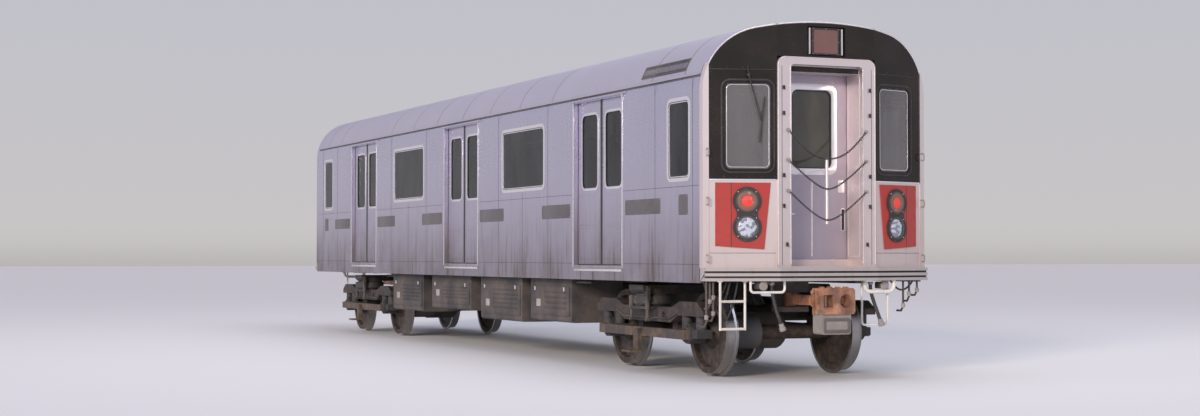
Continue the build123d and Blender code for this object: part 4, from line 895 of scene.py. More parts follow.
    def plate(self, flat: Flat, loops: Sequence[Loop], low: float, high: float, bevel: float = 0.002) -> "Form":
        """Adds a plate with rounded edges; the loops after the first are its holes.

        Args:
            flat: the plane that it lies on.
            loops: outlines in the plane.
            low: how proud of the plane its back is.
            high: how proud of the plane its face is.
            bevel: its edges' radius.

        Returns:
            This form.
        """
        bevel = min(bevel, (high - low) * 0.45)
        curve = bpy.data.curves.new("outline", "CURVE")
        curve.dimensions = "2D"
        curve.fill_mode = "BOTH"
        curve.extrude = (high - low) / 2 - bevel
        curve.bevel_depth = bevel
        curve.bevel_resolution = 1
        curve.offset = -bevel
        mesh = mesh_of(curve, "POLY", [[(x, y, 0.0) for x, y in loop] for loop in loops])
        lift = Matrix.Translation((0, 0, (low + high) / 2))
        faces = [tuple(face.vertices) for face in mesh.polygons]
        self.add([v.co.copy() for v in mesh.vertices], faces, flat.matrix() @ lift)
        bpy.data.meshes.remove(mesh)
        return self

    def bolts(
        self, flat: Flat, places: Iterable[Point2], radius: float, height: float, sides: int = 6, proud: float = 0.0
    ) -> "Form":
        """Adds bolt heads, or rivets where sides is large.

        Args:
            flat: the plane that they stand on.
            places: their places on it.
            radius: their radius.
            height: how far they stand out.
            sides: corners of each head.
            proud: how proud of the plane they start.

        Returns:
            This form.
        """
        for x, y in places:
            profile = [(radius, -0.0005), (radius, height * 0.6), (radius * 0.78, height)]
            self.lathe(flat.at(x, y, proud), flat.out, profile, sides)
        return self

    def make(
        self, name: str, slot: str, finish: Optional[Finish] = None, body: str = "root", sharp: float = 32.0
    ) -> bpy.types.Object:
        """Makes the piece.

        Args:
            name: the piece's name.
            slot: the record's slot that it belongs to.
            finish: its finish, or None for the slot's own.
            body: the CAD body that it rides on.
            sharp: edges that turn more than this many degrees stay sharp.

        Returns:
            The piece.
        """
        mesh = bpy.data.meshes.new(name)
        mesh.from_pydata([tuple(p) for p in self.points], [], self.faces)
        tidy = bmesh.new()
        tidy.from_mesh(mesh)
        bmesh.ops.remove_doubles(tidy, verts=tidy.verts, dist=1e-6)
        bmesh.ops.recalc_face_normals(tidy, faces=tidy.faces)
        tidy.to_mesh(mesh)
        tidy.free()
        mesh.shade_smooth()
        mesh.set_sharp_from_angle(angle=math.radians(sharp))
        piece = linked(name, mesh)
        mesh.materials.append((finish or LOOK.of(slot)).material())
        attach(piece, body)
        return piece


def spaced(first: float, last: float, pitch: float) -> list[float]:
    """Places from first to last, evenly, about pitch apart."""
    count = max(1, round(abs(last - first) / pitch))
    return [first + (last - first) * i / count for i in range(count + 1)]


def around(box: Box, inset: float, pitch: float) -> list[Point2]:
    """Places inside a rectangle's edge.

    Args:
        box: the rectangle's left, right, bottom and top.
        inset: how far inside its edge they are.
        pitch: about how far apart.

    Returns:
        The places, the level rows first.
    """
    x0, x1, y0, y1 = box[0] + inset, box[1] - inset, box[2] + inset, box[3] - inset
    level = [(x, y) for y in (y0, y1) for x in spaced(x0, x1, pitch)]
    return level + [(x, y) for x in (x0, x1) for y in spaced(y0, y1, pitch)[1:-1]]


@dataclass(frozen=True)
class Palette:
    """The finishes: first each slot's own, by its name in the record, then those of single nodes and pieces."""

    # the sides' blue-lavender tint is a painted sky reflection; their very dark tone low down is painted shade and a
    # painted ballast reflection over some dust
    stainless: Finish = BrushedSteel(
        "steel_side", (0.50, 0.48, 0.60), 0.25, waves=0.0032, dust=(0.072, 0.055, 0.048), dust_amount=1.1, dust_top=1.75
    )
    bright_steel: Finish = BrushedSteel(
        "steel_trim", (0.78, 0.76, 0.79), roughness=0.22, waves=0.0002, dust_amount=0.15
    )
    roof_metal: Finish = BrushedSteel(
        "roof_metal", (0.46, 0.45, 0.54), 0.52, waves=0.0024, dust=(0.20, 0.17, 0.16), dust_amount=0.35, dust_top=9.0
    )
    dark_mask: Finish = Paint(
        "mask_gloss",
        (0.010, 0.008, 0.007),
        dirt=(0.055, 0.038, 0.030),
        dirt_amount=0.22,
        roughness=0.20,
        coat=0.10,
        ior=1.30,
    )
    lamp_red_panel: Finish = Paint(
        "red_panel", (0.37, 0.026, 0.020), (0.26, 0.17, 0.15), 0.28, dirt=(0.17, 0.06, 0.05), roughness=0.42, coat=0.15
    )
    black_rubber: Finish = Plastic("rubber", (0.018, 0.017, 0.018), roughness=0.62)
    lamp_lens: Finish = Lens("tail_lens", (0.62, 0.03, 0.02), glow=0.35)
    window_glass: Finish = Glazing(
        "window_glass", (0.008, 0.010, 0.014), see_through=0.32, film=0.05, ior=1.3, coat=0.15
    )
    sign_face: Finish = Paint("sign_face", (0.145, 0.062, 0.058), coat=0.15, dirt_amount=0.35)
    underframe_black: Finish = Paint(
        "underframe_black", (0.030, 0.029, 0.031), under=(0.16, 0.08, 0.05), chips=0.3, dirt_amount=0.55, roughness=0.7
    )
    grille_dark: Finish = Paint("grille_dark", (0.045, 0.045, 0.052), roughness=0.55, dirt_amount=0.5)
    floor_covering: Finish = Plastic("floor_covering", (0.14, 0.14, 0.15), second=(0.42, 0.40, 0.38), speckle=0.42)
    liner: Finish = Paint("liner", (0.66, 0.63, 0.58), roughness=0.4, dirt_amount=0.12)
    seat_plastic: Finish = Plastic("seat_plastic", (0.52, 0.27, 0.10), roughness=0.36, texture=0.0002)
    cab_grey: Finish = Paint("cab_grey", (0.24, 0.26, 0.28), roughness=0.5, chips=0.2, under=(0.5, 0.5, 0.5))
    handrail_steel: Finish = BrushedSteel(
        "handrail_steel", (0.75, 0.74, 0.73), roughness=0.2, waves=0.0, dust_amount=0.05
    )
    step_white: Finish = Paint(
        "step_white", (0.78, 0.77, 0.74), under=(0.24, 0.20, 0.18), chips=0.33, dirt=(0.3, 0.25, 0.2), dirt_amount=0.5
    )
    chain_steel: Finish = Paint(
        "chain_steel", (0.040, 0.037, 0.040), under=(0.22, 0.17, 0.15), chips=0.25, metallic=0.5
    )
    # bogie_steel and shoe_beam: very dark colours that are partly painted shade under the car
    bogie_steel: Finish = Rust(
        "bogie_steel", (0.030, 0.026, 0.025), pale=(0.075, 0.054, 0.042), dark=(0.018, 0.016, 0.015), roughness=0.75
    )
    spring_rubber: Finish = Plastic("spring_rubber", (0.028, 0.026, 0.027), roughness=0.7)
    motor_grey: Finish = Paint("motor_grey", (0.070, 0.073, 0.078), chips=0.3, dirt_amount=0.6, roughness=0.6)
    # dark partly as painted shade under the car
    shoe_beam: Finish = Rust(
        "shoe_beam", (0.060, 0.043, 0.033), pale=(0.12, 0.085, 0.06), dark=(0.03, 0.024, 0.021), metallic=0.0
    )
    coupler_orange: Finish = Rust("coupler_orange", (0.30, 0.125, 0.065), pale=(0.50, 0.26, 0.15))

    # the front steel's pinkish tint and the portal steel's warm cream tint are painted low warm sunlight
    front_steel: Finish = BrushedSteel(
        "steel_front", (0.74, 0.66, 0.655), 0.36, Grain.UPRIGHT, dust=(0.25, 0.19, 0.16), dust_amount=0.55
    )
    portal_steel: Finish = BrushedSteel(
        "steel_portal", (0.83, 0.765, 0.745), 0.34, Grain.UPRIGHT, waves=0.0006, metallic=0.75
    )
    door_steel: Finish = BrushedSteel(
        "steel_end_door", (0.40, 0.36, 0.43), 0.42, Grain.UPRIGHT, waves=0.0006, dust=(0.20, 0.17, 0.18)
    )
    anticlimber: Finish = BrushedSteel(
        "steel_anticlimber", (0.62, 0.58, 0.57), roughness=0.36, waves=0.0002, dust=(0.16, 0.13, 0.11), dust_amount=0.5
    )
    roof_strap: Finish = BrushedSteel(
        "roof_strap", (0.30, 0.29, 0.34), roughness=0.45, waves=0.0004, dust_top=9.0, dust_amount=0.4
    )
    # its dark patches are painted reflections in the sealed beam
    head_lens: Finish = Lens("head_lens", (0.70, 0.76, 0.90), glow=0.04, clear=0.35, shaded=0.85)
    bowl: Finish = Mirror("lamp_bowl", (0.78, 0.82, 0.90))
    reflex: Finish = Paint("reflex_brown", (0.20, 0.085, 0.055), under=(0.50, 0.36, 0.22), chips=0.36, coat=0.6)
    front_glass: Finish = Glazing("front_glass", (0.17, 0.165, 0.175), see_through=0.66)
    end_glass: Finish = Glazing("end_door_glass", (0.030, 0.030, 0.020), see_through=0.22)
    blank_plate: Finish = Paint("blank_plate", (0.055, 0.050, 0.060), coat=0.3, dirt_amount=0.3)
    blank_label: Finish = Paint("blank_label", (0.45, 0.44, 0.40), dirt_amount=0.6)
    box_grey: Finish = Paint("electric_box_grey", (0.30, 0.285, 0.27), chips=0.32, dirt_amount=0.6, roughness=0.55)
    seat_rim: Finish = Plastic("seat_rim", (0.62, 0.36, 0.15), roughness=0.30, texture=0.0002)
    lit: Finish = Lamp("lit_diffuser", (1.0, 0.95, 0.86), strength=2.2)

    def of(self, slot: str) -> Finish:
        """A slot's own finish."""
        return getattr(self, slot)


LOOK = Palette()
NODE_LOOKS: dict[str, Finish] = {
    "front_end_frame": LOOK.front_steel,
    "anticlimbers": LOOK.anticlimber,
    "brackets_and_hooks": LOOK.box_grey,
    "end_door_front": LOOK.door_steel,
}


@dataclass(frozen=True)
class Patch:
    """Faces of a CAD node with their own finish: those whose middles lie in a box, either side of x = 0."""

    node: str
    finish: Finish
    x: Point2 = (0.0, 9.0)
    y: Point2 = (-9.0, 9.0)
    z: Point2 = (-9.0, 9.0)

    def holds(self, centre: Vector) -> bool:
        """Whether a face with this middle is in the patch."""
        spans = ((abs(centre.x), self.x), (centre.y, self.y), (centre.z, self.z))
        return all(low <= value <= high for value, (low, high) in spans)

    def dress(self, node: bpy.types.Object) -> None:
        """Gives the patch's faces their finish, as one more material slot.

        Args:
            node: the CAD node's object.
        """
        node.data.materials.append(self.finish.material())
        slot = len(node.data.materials) - 1
        for polygon in node.data.polygons:
            if self.holds(node.matrix_world @ polygon.center):
                polygon.material_index = slot


PANE_DEPTH = (1.2335, 1.2425)
PATCHES: tuple[Patch, ...] = (
    *(Patch(leaf, LOOK.window_glass, x=PANE_DEPTH) for leaf in LEAVES),
    Patch("end_door_front", LOOK.end_glass, y=(-7.3025, -7.2935)),
    Patch("end_door_rear", LOOK.end_glass, y=(7.5485, 7.5575)),
    Patch("cab_door", LOOK.window_glass, x=(0.0, 0.171), y=(-6.3125, -6.3035), z=(2.149, 2.851)),
    Patch("window_glass", LOOK.front_glass, y=(-9.0, -7.30)),
    Patch("window_frames", LOOK.dark_mask, x=(0.0, 1.24), y=(-9.0, -7.30)),
    Patch("destination_sign", LOOK.bright_steel, x=(0.17, 9.0)),
    Patch("coupler_front", LOOK.box_grey, y=(-9.0, -7.5), z=(-9.0, 0.695)),
    Patch("brackets_and_hooks", LOOK.portal_steel, x=(0.0, 0.06)),
    # the anticlimbers' grooves made black: painted shade in the hollows
    *(Patch("anticlimbers", LOOK.black_rubber, z=groove_painted_shade) for groove_painted_shade in ((1.0505, 1.0685), (1.1005, 1.1195))),
)


@dataclass
class Studio:
    """The floor, the light and the camera."""

    camera_place: Point3 = (-9.7, -24.2, 1.28)
    yaw: float = 23.4
    pitch: float = 1.45
    lens: float = 56.0
    floor_size: float = 400.0
    floor_colour: Colour = (0.70, 0.69, 0.67)
    bright_way: Point3 = (-0.45, -0.90, 0.0)
    sky_levels: Point2 = (0.62, 0.98)
    suns: tuple[tuple[str, Point3, float, float, Colour], ...] = (
        # name, the way to it, strength, width in degrees, colour
        ("key", (-22.0, -19.0, 8.6), 2.7, 15.0, (1.0, 0.86, 0.75)),
        ("fill", (-22.0, 6.0, 6.6), 0.55, 30.0, (0.72, 0.76, 1.0)),
    )
    top_place: Point3 = (2.0, -4.0, 16.0)
    top_aim: Point3 = (0.0, 0.0, 2.0)
    top_size: float = 14.0
    top_power: float = 1400.0
    top_colour: Colour = (0.92, 0.93, 1.0)
    sky_stops: tuple[tuple[float, Colour], ...] = (
        # 0 is straight down, 0.5 the horizon, 1 straight up
        (0.0, (0.13, 0.11, 0.10)),
        (0.47, (0.24, 0.20, 0.19)),
        (0.505, (0.93, 0.90, 0.90)),
        (0.57, (0.86, 0.86, 0.96)),
        (1.0, (0.46, 0.49, 0.70)),
    )

    def build(self) -> None:
        """Makes the camera, the floor, the sky and the lamps."""
        self._camera()
        self._floor()
        self._sky()
        self._lamps()

    def _camera(self) -> None:
        """The camera, low beside the track and ahead of the car."""
        data = bpy.data.cameras.new("camera")
        data.lens = self.lens
        data.clip_end = 500.0
        camera = linked("camera", data)
        camera.location = self.camera_place
        yaw, pitch = math.radians(self.yaw), math.radians(self.pitch)
        way = Vector((math.sin(yaw) * math.cos(pitch), math.cos(yaw) * math.cos(pitch), math.sin(pitch)))
        camera.rotation_euler = way.to_track_quat("-Z", "Y").to_euler()
        bpy.context.scene.camera = camera

    def _floor(self) -> None:
        """The plain pale floor."""
        half = self.floor_size / 2
        mesh = bpy.data.meshes.new("floor")
        corners = [(-half, -half, 0), (half, -half, 0), (half, half, 0), (-half, half, 0)]
        mesh.from_pydata(corners, [], [(0, 1, 2, 3)])
        floor = linked("floor", mesh)
        graph = ShaderGraph("floor")
        graph.set(Base_Color=self.floor_colour, Roughness=0.8)
        mesh.materials.append(graph.material)
        floor.location.z = -0.001

    def _sky(self) -> None:
        """A soft pale sky, brighter ahead of the car and to its right, that the steel and the camera both see."""
        world = bpy.data.worlds.new("studio")
        bpy.context.scene.world = world
        world.use_nodes = True
        graph = NodeGraph(world.node_tree)
        way = graph.signal("ShaderNodeTexCoord", {}, {}, "Generated")
        rise = graph.signal("ShaderNodeSeparateXYZ", {}, {0: way}, "Z")
        height = graph.signal("ShaderNodeMapRange", {}, {"Value": rise, "From Min": -1.0})
        colour = graph.signal("ShaderNodeValToRGB", {"stops": self.sky_stops}, {0: height})
        lean = graph.signal(
            "ShaderNodeVectorMath", {"operation": "DOT_PRODUCT"}, {0: way, 1: self.bright_way}, "Value"
        )
        spread = {"From Min": -0.75, "To Min": self.sky_levels[0], "To Max": self.sky_levels[1]}
        level = graph.signal("ShaderNodeMapRange", {}, {"Value": lean, **spread})
        background = world.node_tree.nodes["Background"]
        graph.feed(background.inputs["Color"], colour)
        graph.feed(background.inputs["Strength"], level)

    def _lamps(self) -> None:
        """A warm low sun from the viewer's left and ahead, a wide cool fill along the side and a soft top light."""
        for name, way, strength, width, colour in self.suns:
            sun = bpy.data.lights.new(name, "SUN")
            sun.energy = strength
            sun.angle = math.radians(width)
            self._hang(sun, way, (0.0, 0.0, 0.0), colour)
        top = bpy.data.lights.new("top", "AREA")
        top.size = self.top_size
        top.energy = self.top_power
        self._hang(top, self.top_place, self.top_aim, self.top_colour)

    @staticmethod
    def _hang(data: bpy.types.Light, place: Point3, aim: Point3, colour: Colour) -> None:
        """Puts a lamp in the scene.

        Args:
            data: the lamp.
            place: where it is.
            aim: what it faces.
            colour: its colour.
        """
        data.color = colour
        lamp = linked(data.name, data)
        lamp.location = place
        lamp.rotation_euler = (Vector(aim) - Vector(place)).to_track_quat("-Z", "Y").to_euler()


@dataclass
class SafetyChains:
    """Three chains across the portal, each a run of welded links."""

    diameter: float = 0.022
    wire: float = 0.0074
    pitch: float = 0.033
    y: float = -7.65
    routes: dict[str, tuple[Point2, ...]] = field(
        default_factory=lambda: {
            "chain_top": ((0.075, 2.264), (0.205, 2.312), (0.330, 2.412), (0.447, 2.540)),
            "chain_middle": ((0.052, 1.956), (0.180, 2.026), (0.312, 2.122), (0.447, 2.236)),
            "chain_bottom": ((0.052, 1.640), (0.180, 1.712), (0.312, 1.808), (0.447, 1.924)),
        }
    )

    def build(self) -> None:
        """Hangs the three chains."""
        for name in self.routes:
            self._hang(name)

    def _route(self, name: str) -> list[Vector]:
        """The line that a chain follows, read from the curve through its route's points.

        Args:
            name: the chain's CAD node.

        Returns:
            The line's points.
        """
        half = self.routes[name]
        points = [(-x, self.y, z) for x, z in reversed(half)] + [(x, self.y, z) for x, z in half]
        curve = bpy.data.curves.new(name, "CURVE")
        curve.dimensions = "3D"
        curve.resolution_u = 16
        mesh = mesh_of(curve, "NURBS", [points])
        line = [v.co.copy() for v in mesh.vertices]
        bpy.data.meshes.remove(mesh)
        return line

    def _link(self) -> Form:
        """One link about the origin, long in x and flat in z.

        Returns:
            The link.
        """
        half_width = self.diameter / 2 - self.wire / 2
        half_straight = (self.pitch + self.wire) / 2 - half_width
        turns = [math.pi * (i / 8 - 0.5) for i in range(9)]
        bends = [(half_straight + half_width * math.cos(a), half_width * math.sin(a)) for a in turns]
        route = [(end * x, end * y, 0.0) for end in (1, -1) for x, y in bends]
        return Form().tube(route, self.wire / 2, 8, closed=True)

    def _hang(self, name: str) -> None:
        """Args:
            name: the chain's CAD node.
        """
        line = self._route(name)
        lengths = [0.0, *accumulate((b - a).length for a, b in zip(line, line[1:]))]
        total = lengths[-1]
        count = round((total - self.wire) / self.pitch)
        link, form = self._link(), Form()
        for i in range(count):
            along = (i + 0.5) * total / count
            k = bisect_left(lengths, along) - 1
            share = (along - lengths[k]) / (lengths[k + 1] - lengths[k])
            place = Matrix.Translation(line[k].lerp(line[k + 1], share))
            aim = (line[k + 1] - line[k]).to_track_quat("X", "Z").to_matrix().to_4x4()
            turned = Matrix.Rotation(math.pi / 4 + (i % 2) * math.pi / 2, 4, "X")
            form.add(link.points, link.faces, place @ aim @ turned)
        piece = form.make(f"{name}_links", "chain_steel", sharp=60.0)
        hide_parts(name)


class CadFinishes:
    """The finishes of the CAD nodes, by their slots, with a few by name."""

    def build(self) -> None:
        """Gives every CAD node its material."""
        slots = {part["node"]: part["material_slot"] for part in frame["record"]["subparts"]}
        for name, node in frame["nodes"].items():
            finish = NODE_LOOKS.get(name) or self._wheel(name) or LOOK.of(slots[name])
            node.data.materials.clear()
            node.data.materials.append(finish.material())
            for patch in PATCHES:
                if patch.node == name:
                    patch.dress(node)

    @staticmethod
    def _wheel(name: str) -> Optional[Finish]:
        """A wheelset's finish, bright where the rail polishes it.

        Args:
            name: a CAD node's name.

        Returns:
            The finish, or None where the node isn't a wheelset.
        """
        if not name.startswith("wheelset_"):
            return None
        low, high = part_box(name)
        # the very dark base colour is partly painted shade under the car
        return WheelSteel(name, (0.028, 0.024, 0.022), axle_y=(low.y + high.y) / 2)


WINDSHIELD = (0.612, 1.112, 2.125, 3.045)
LAMP_X = 0.874
TAIL_Z = 1.826
HEAD_Z = 1.562


@dataclass
class FrontEnd:
    """The mask's seams and screws, the portal's lips and fittings, and the lower panels' seams and rivets."""

    seam_z: float = 3.158
    mask_bottom: float = 2.045
    mask_half: float = 1.25
    portal_top: float = 3.298
    opening_half: float = 0.42
    portal_proud: float = 0.014
    floor_z: float = 1.168
    post_middle: float = 0.525
    post_rivets: Point2 = (0.548, 0.437)
    latch_heights: tuple[float, ...] = (1.39, 1.78, 2.09, 2.72, 2.98)
    red_fold_x: float = 1.030
    recess_y: Point2 = (-7.575, -7.335)
    tread_pitch: float = 0.03

    def build(self) -> None:
        """Makes the front's fittings."""
        self._mask()
        self._portal_lip()
        self._portal_fittings()
        self._recess()
        self._lower_panel()
        self._rim()
        self._folds()

    def _rim(self) -> None:
        """The thin bright bead round the roof's front edge, over the mask."""
        slope = math.tan(SWEEP_ANGLE)
        line = [
            (x - nx * 0.006, FRONT_Y - 0.0005 + max(0.0, abs(x) - PORTAL_HALF) * slope, z - nz * 0.006)
            for (x, z), (nx, nz) in arch()
        ]
        Form().tube(line, 0.0055, 8).make("roof_front_rim", "bright_steel", LOOK.portal_steel)

    def _folds(self) -> None:
        """The dark lines down the folds of the portal's posts and of the red panels: painted shade where the sheet
        bends.
        """
        # thin dark strips: painted shade along the bends
        lines = Form()
        portal = front_flat(FRONT_Y - self.portal_proud)
        for x in (-self.post_middle, self.post_middle):
            lines.plate(portal, strip(x, 0.0026, 1.18, 3.20, 0.0015), -0.0038, -0.001, 0.0004)
        for side in BOTH:
            fold = strip(on_facet(self.red_fold_x), 0.004, 1.368, 2.008, 0.002)
            lines.plate(facet_flat(side), fold, 0.0105, 0.0128, 0.0006)
        lines.make("front_fold_lines", "black_rubber")

    def _mask(self) -> None:
        """The bright strip along the mask's lower edge, the dark seam across it and the screws round its halves."""
        sill, seam, screws = Form(), Form(), Form()
        ends = (on_facet(0.585), on_facet(self.mask_half - 0.006))
        inner, outer = on_facet(0.60), on_facet(1.225)
        foot = self.mask_bottom + 0.03
        places = [(s, z) for s in (inner, outer) for z in spaced(foot, 3.13, 0.18)]
        places += [(s, foot) for s in spaced(inner, outer, 0.14)[1:-1]]
        places += [(s, self.seam_z + 0.02) for s in spaced(inner, outer, 0.16)]
        for side in BOTH:
            flat = facet_flat(side)
            sill.plate(flat, [rounded(*ends, self.mask_bottom - 0.010, self.mask_bottom + 0.004, 0.002, 2)], 0.0, 0.006)
            seam.plate(flat, [rounded(*ends, self.seam_z - 0.004, self.seam_z + 0.004, 0.002, 2)], 0.0, 0.003, 0.001)
            screws.bolts(flat, places, 0.0065, 0.003, 10)
        sill.make("mask_sill_strip", "bright_steel")
        seam.make("mask_seam", "dark_mask", LOOK.black_rubber)
        screws.make("mask_screws", "dark_mask", LOOK.black_rubber)

    def _portal_lip(self) -> None:
        """The rolled lip round the portal's opening and the bead round its outer edge."""
        flat = front_flat(FRONT_Y - self.portal_proud)
        edge = self.opening_half + 0.006
        low = self.floor_z + 0.02
        opening = [(-edge, low), (-edge, 3.20), (edge, 3.20), (edge, low)]
        Form().tube([flat.at(x, z, 0.001) for x, z in opening], 0.006, 8).make("portal_lip", "bright_steel")
        half = PORTAL_HALF - 0.007
        outer = [p for p in rounded(-half, half, 1.0, self.portal_top - 0.007, 0.084, 8) if p[1] > self.floor_z]
        outer.sort(key=lambda p: (math.atan2(p[1] - 2.0, p[0]) + math.pi / 2) % (2 * math.pi))
        line = [flat.at(x, z, 0.001) for x, z in ((half, low), *outer, (-half, low))]
        Form().tube(line, 0.0045, 6).make("portal_edge_bead", "bright_steel", LOOK.portal_steel)

    def _portal_fittings(self) -> None:
        """The posts' rivets, and their small dark hooks and latches."""
        flat = front_flat(FRONT_Y - self.portal_proud)
        rivets, hooks = Form(), Form()
        for side in (-1, 1):
            for x in self.post_rivets:
                rivets.bolts(flat, [(side * x, z) for z in spaced(1.23, 3.16, 0.155)], 0.0055, 0.0022, 10)
            for z in self.latch_heights:
                x = side * (0.505 if z > 1.5 else 0.47)
                hooks.box((x - 0.012, x + 0.012), (-7.6485, -7.6345), (z - 0.020, z + 0.020), 0.003)
                hooks.rod((x, -7.647, z), (x, -7.660, z), 0.006, 10)
                hooks.tube([(x, -7.659, z), (x, -7.664, z - 0.012), (x, -7.657, z - 0.026)], 0.0038, 6)
        rivets.make("portal_rivets", "bright_steel", LOOK.portal_steel)
        hooks.make("portal_latches", "black_rubber")

    def _recess(self) -> None:
        """The brown header over the door, the threshold's tread and the wall panels' frames."""
        header = Form().box((-0.415, 0.415), (-7.566, -7.555), (3.152, 3.212), 0.003)
        header.make("recess_header_face", "dark_mask")
        tread = Form().box((-0.412, 0.412), (-7.372, -7.323), (1.229, 1.2335), 0.001)
        for x in spaced(-0.39, 0.39, self.tread_pitch):
            tread.box((x - 0.004, x + 0.004), (-7.368, -7.328), (1.2325, 1.2362), 0.0015, 1)
        tread.make("recess_threshold_tread", "bright_steel")
        frames = Form()
        panel = (*self.recess_y, 1.26, 3.14)
        for side in (-1, 1):
            wall = Flat((side * self.opening_half, 0.0, 0.0), Y, Z, (-float(side), 0.0, 0.0))
            frames.plate(wall, band(panel, 0.0, 0.012, 0.02, 0.014), 0.0, 0.003)
            frames.bolts(wall, around(panel, 0.006, 0.22), 0.0035, 0.0045, 8)
        frames.make("recess_wall_frames", "bright_steel", LOOK.portal_steel)

    def _lower_panel(self) -> None:
        """Seams and rivets of the plain panel below the red ones and beside the portal."""
        seams, rivets = Form(), Form()
        outer = on_facet(1.236)
        for side in BOTH:
            flat = facet_flat(side)
            seams.plate(flat, [rounded(on_facet(0.59), outer, 1.300, 1.304, 0.001, 1)], 0.0, 0.0015, 0.0005)
            for z in (1.275, 1.178):
                rivets.bolts(flat, [(s, z) for s in spaced(on_facet(0.61), outer - 0.02, 0.075)], 0.0045, 0.002, 8)
            rivets.bolts(flat, [(outer - 0.012, z) for z in spaced(1.32, 2.02, 0.10)], 0.0045, 0.002, 8)
        seams.make("front_panel_seams", "black_rubber")
        rivets.make("front_panel_rivets", "stainless", LOOK.front_steel)


@dataclass
class LampCluster:
    """The red panels' screws, and each lamp's lens, bowl, retaining ring and screws."""

    lens_r: float = 0.104
    lens_rise: float = 0.026
    foot: float = 0.004
    ring_radii: Point2 = (0.1172, 0.101)
    screw_circle: float = 0.131
    bowl: tuple[Point2, ...] = ((0.099, 0.010), (0.085, 0.0035), (0.060, 0.0012), (0.0, 0.0006))
    reflex_radii: Point2 = (0.1005, 0.058)
    reflex_ribs: tuple[float, ...] = (0.070, 0.082, 0.094)
    # each panel edge's upper and lower ends, and how proud the panel is there
    panel_edges: tuple[tuple[Point2, Point2, float], ...] = (
        ((1.165, 1.985), (1.165, 1.395), 0.009),
        ((0.668, 1.985), (0.722, 1.372), 0.0122),
    )

    def build(self) -> None:
        """Dresses both clusters."""
        head, tail, bowls, rings, screws, reflex, edges = (Form() for _ in range(7))
        s = on_facet(LAMP_X)
        lens = self._lens()
        corners = [math.radians(45 + 90 * i) for i in range(4)]
        turns = [(self.screw_circle * math.cos(a), self.screw_circle * math.sin(a)) for a in corners]
        for side in BOTH:
            flat = facet_flat(side)
            for z, form in ((TAIL_Z, tail), (HEAD_Z, head)):
                form.lathe(flat.at(s, z, 0.0005), flat.out, lens, 48)
                rings.plate(flat, [circle(s, z, radius, 56) for radius in self.ring_radii], 0.008, 0.0285, 0.004)
                screws.bolts(flat, [(s + dx, z + dz) for dx, dz in turns], 0.0055, 0.003, 8, proud=0.026)
            bowls.lathe(flat.at(s, HEAD_Z), flat.out, self.bowl, 40)
            bowls.rod(flat.at(s, HEAD_Z, 0.002), flat.at(s, HEAD_Z, 0.016), 0.018, 20)
            reflex.plate(flat, [circle(s, TAIL_Z, radius, 48) for radius in self.reflex_radii], 0.012, 0.0305, 0.003)
            for radius in self.reflex_ribs:
                rib = [circle(s, TAIL_Z, radius + dr, 48) for dr in (0.002, -0.002)]
                reflex.plate(flat, rib, 0.030, 0.0322, 0.0008)
            for (xa, za), (xb, zb), proud in self.panel_edges:
                places = [(on_facet(xa + (xb - xa) * i / 4), za + (zb - za) * i / 4) for i in range(5)]
                edges.bolts(flat, places, 0.0075, 0.0035, 10, proud=proud)
        rings.make("lamp_rings", "black_rubber", LOOK.grille_dark)
        screws.make("lamp_bezel_screws", "black_rubber", LOOK.bowl)
        bowls.make("headlamp_bowls", "lamp_lens", LOOK.bowl)
        reflex.make("tail_lamp_reflex_rings", "lamp_lens", LOOK.reflex)
        edges.make("red_panel_screws", "lamp_red_panel")
        lenses = head.make("headlamp_lenses", "lamp_lens", LOOK.head_lens)
        tail.make("tail_lamp_lenses", "lamp_lens")
        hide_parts("lamps")

    def _lens(self) -> list[Point2]:
        """A lens's shallow domed profile.

        Returns:
            Its points, as radius and height.
        """
        dome = [math.pi / 2 * i / 9 for i in range(1, 9)]
        profile = [(self.lens_r * math.cos(a), self.foot + self.lens_rise * math.sin(a)) for a in dome]
        return [(0.100, 0.0), (self.lens_r, self.foot), *profile, (0.0, self.foot + self.lens_rise)]


@dataclass
class Windshields:
    """The front windows' rubbers and the bright line inside each frame."""

    line_inset: float = 0.040
    line_width: float = 0.007

    def build(self) -> None:
        """Dresses both windshields."""
        rubber, line = Form(), Form()
        x0, x1, z0, z1 = WINDSHIELD
        box = (on_facet(x0), on_facet(x1), z0, z1)
        for side in BOTH:
            flat = facet_flat(side)
            rubber.plate(flat, band(box, 0.018, 0.004, 0.098, 0.076), 0.0, 0.006, 0.0025)
            edges = band(box, -self.line_inset, self.line_inset + self.line_width, 0.048, 0.042)
            line.plate(flat, edges, -0.010, -0.002, 0.001)
        rubber.make("windshield_rubbers", "black_rubber")
        line.make("windshield_inner_line", "bright_steel")


@dataclass
class SignBox:
    """The blank destination sign's frame and its screws."""

    centre_z: float = 3.468
    width: float = 0.310
    height: float = 0.268

    def build(self) -> None:
        """Dresses the sign."""
        flat = front_flat(FRONT_Y + 0.012)
        half, rise = self.width / 2, self.height / 2
        box = (-half, half, self.centre_z - rise, self.centre_z + rise)
        Form().plate(flat, band(box, 0.004, 0.012, 0.012, 0.006), 0.0005, 0.006).make("sign_frame", "black_rubber")
        screws = Form().bolts(flat, around(box, 0.004, 0.13), 0.0035, 0.002, 8, proud=0.006)
        screws.make("sign_screws", "bright_steel")


@dataclass
class DoorDress:
    """What is fixed to a door, and slides with it."""

    body: str

    def _make(self, form: Form, name: str, slot: str) -> None:
        """Makes a piece of the door, with the door's name before its own."""
        form.make(f"{self.body}_{name}", slot, body=self.body)


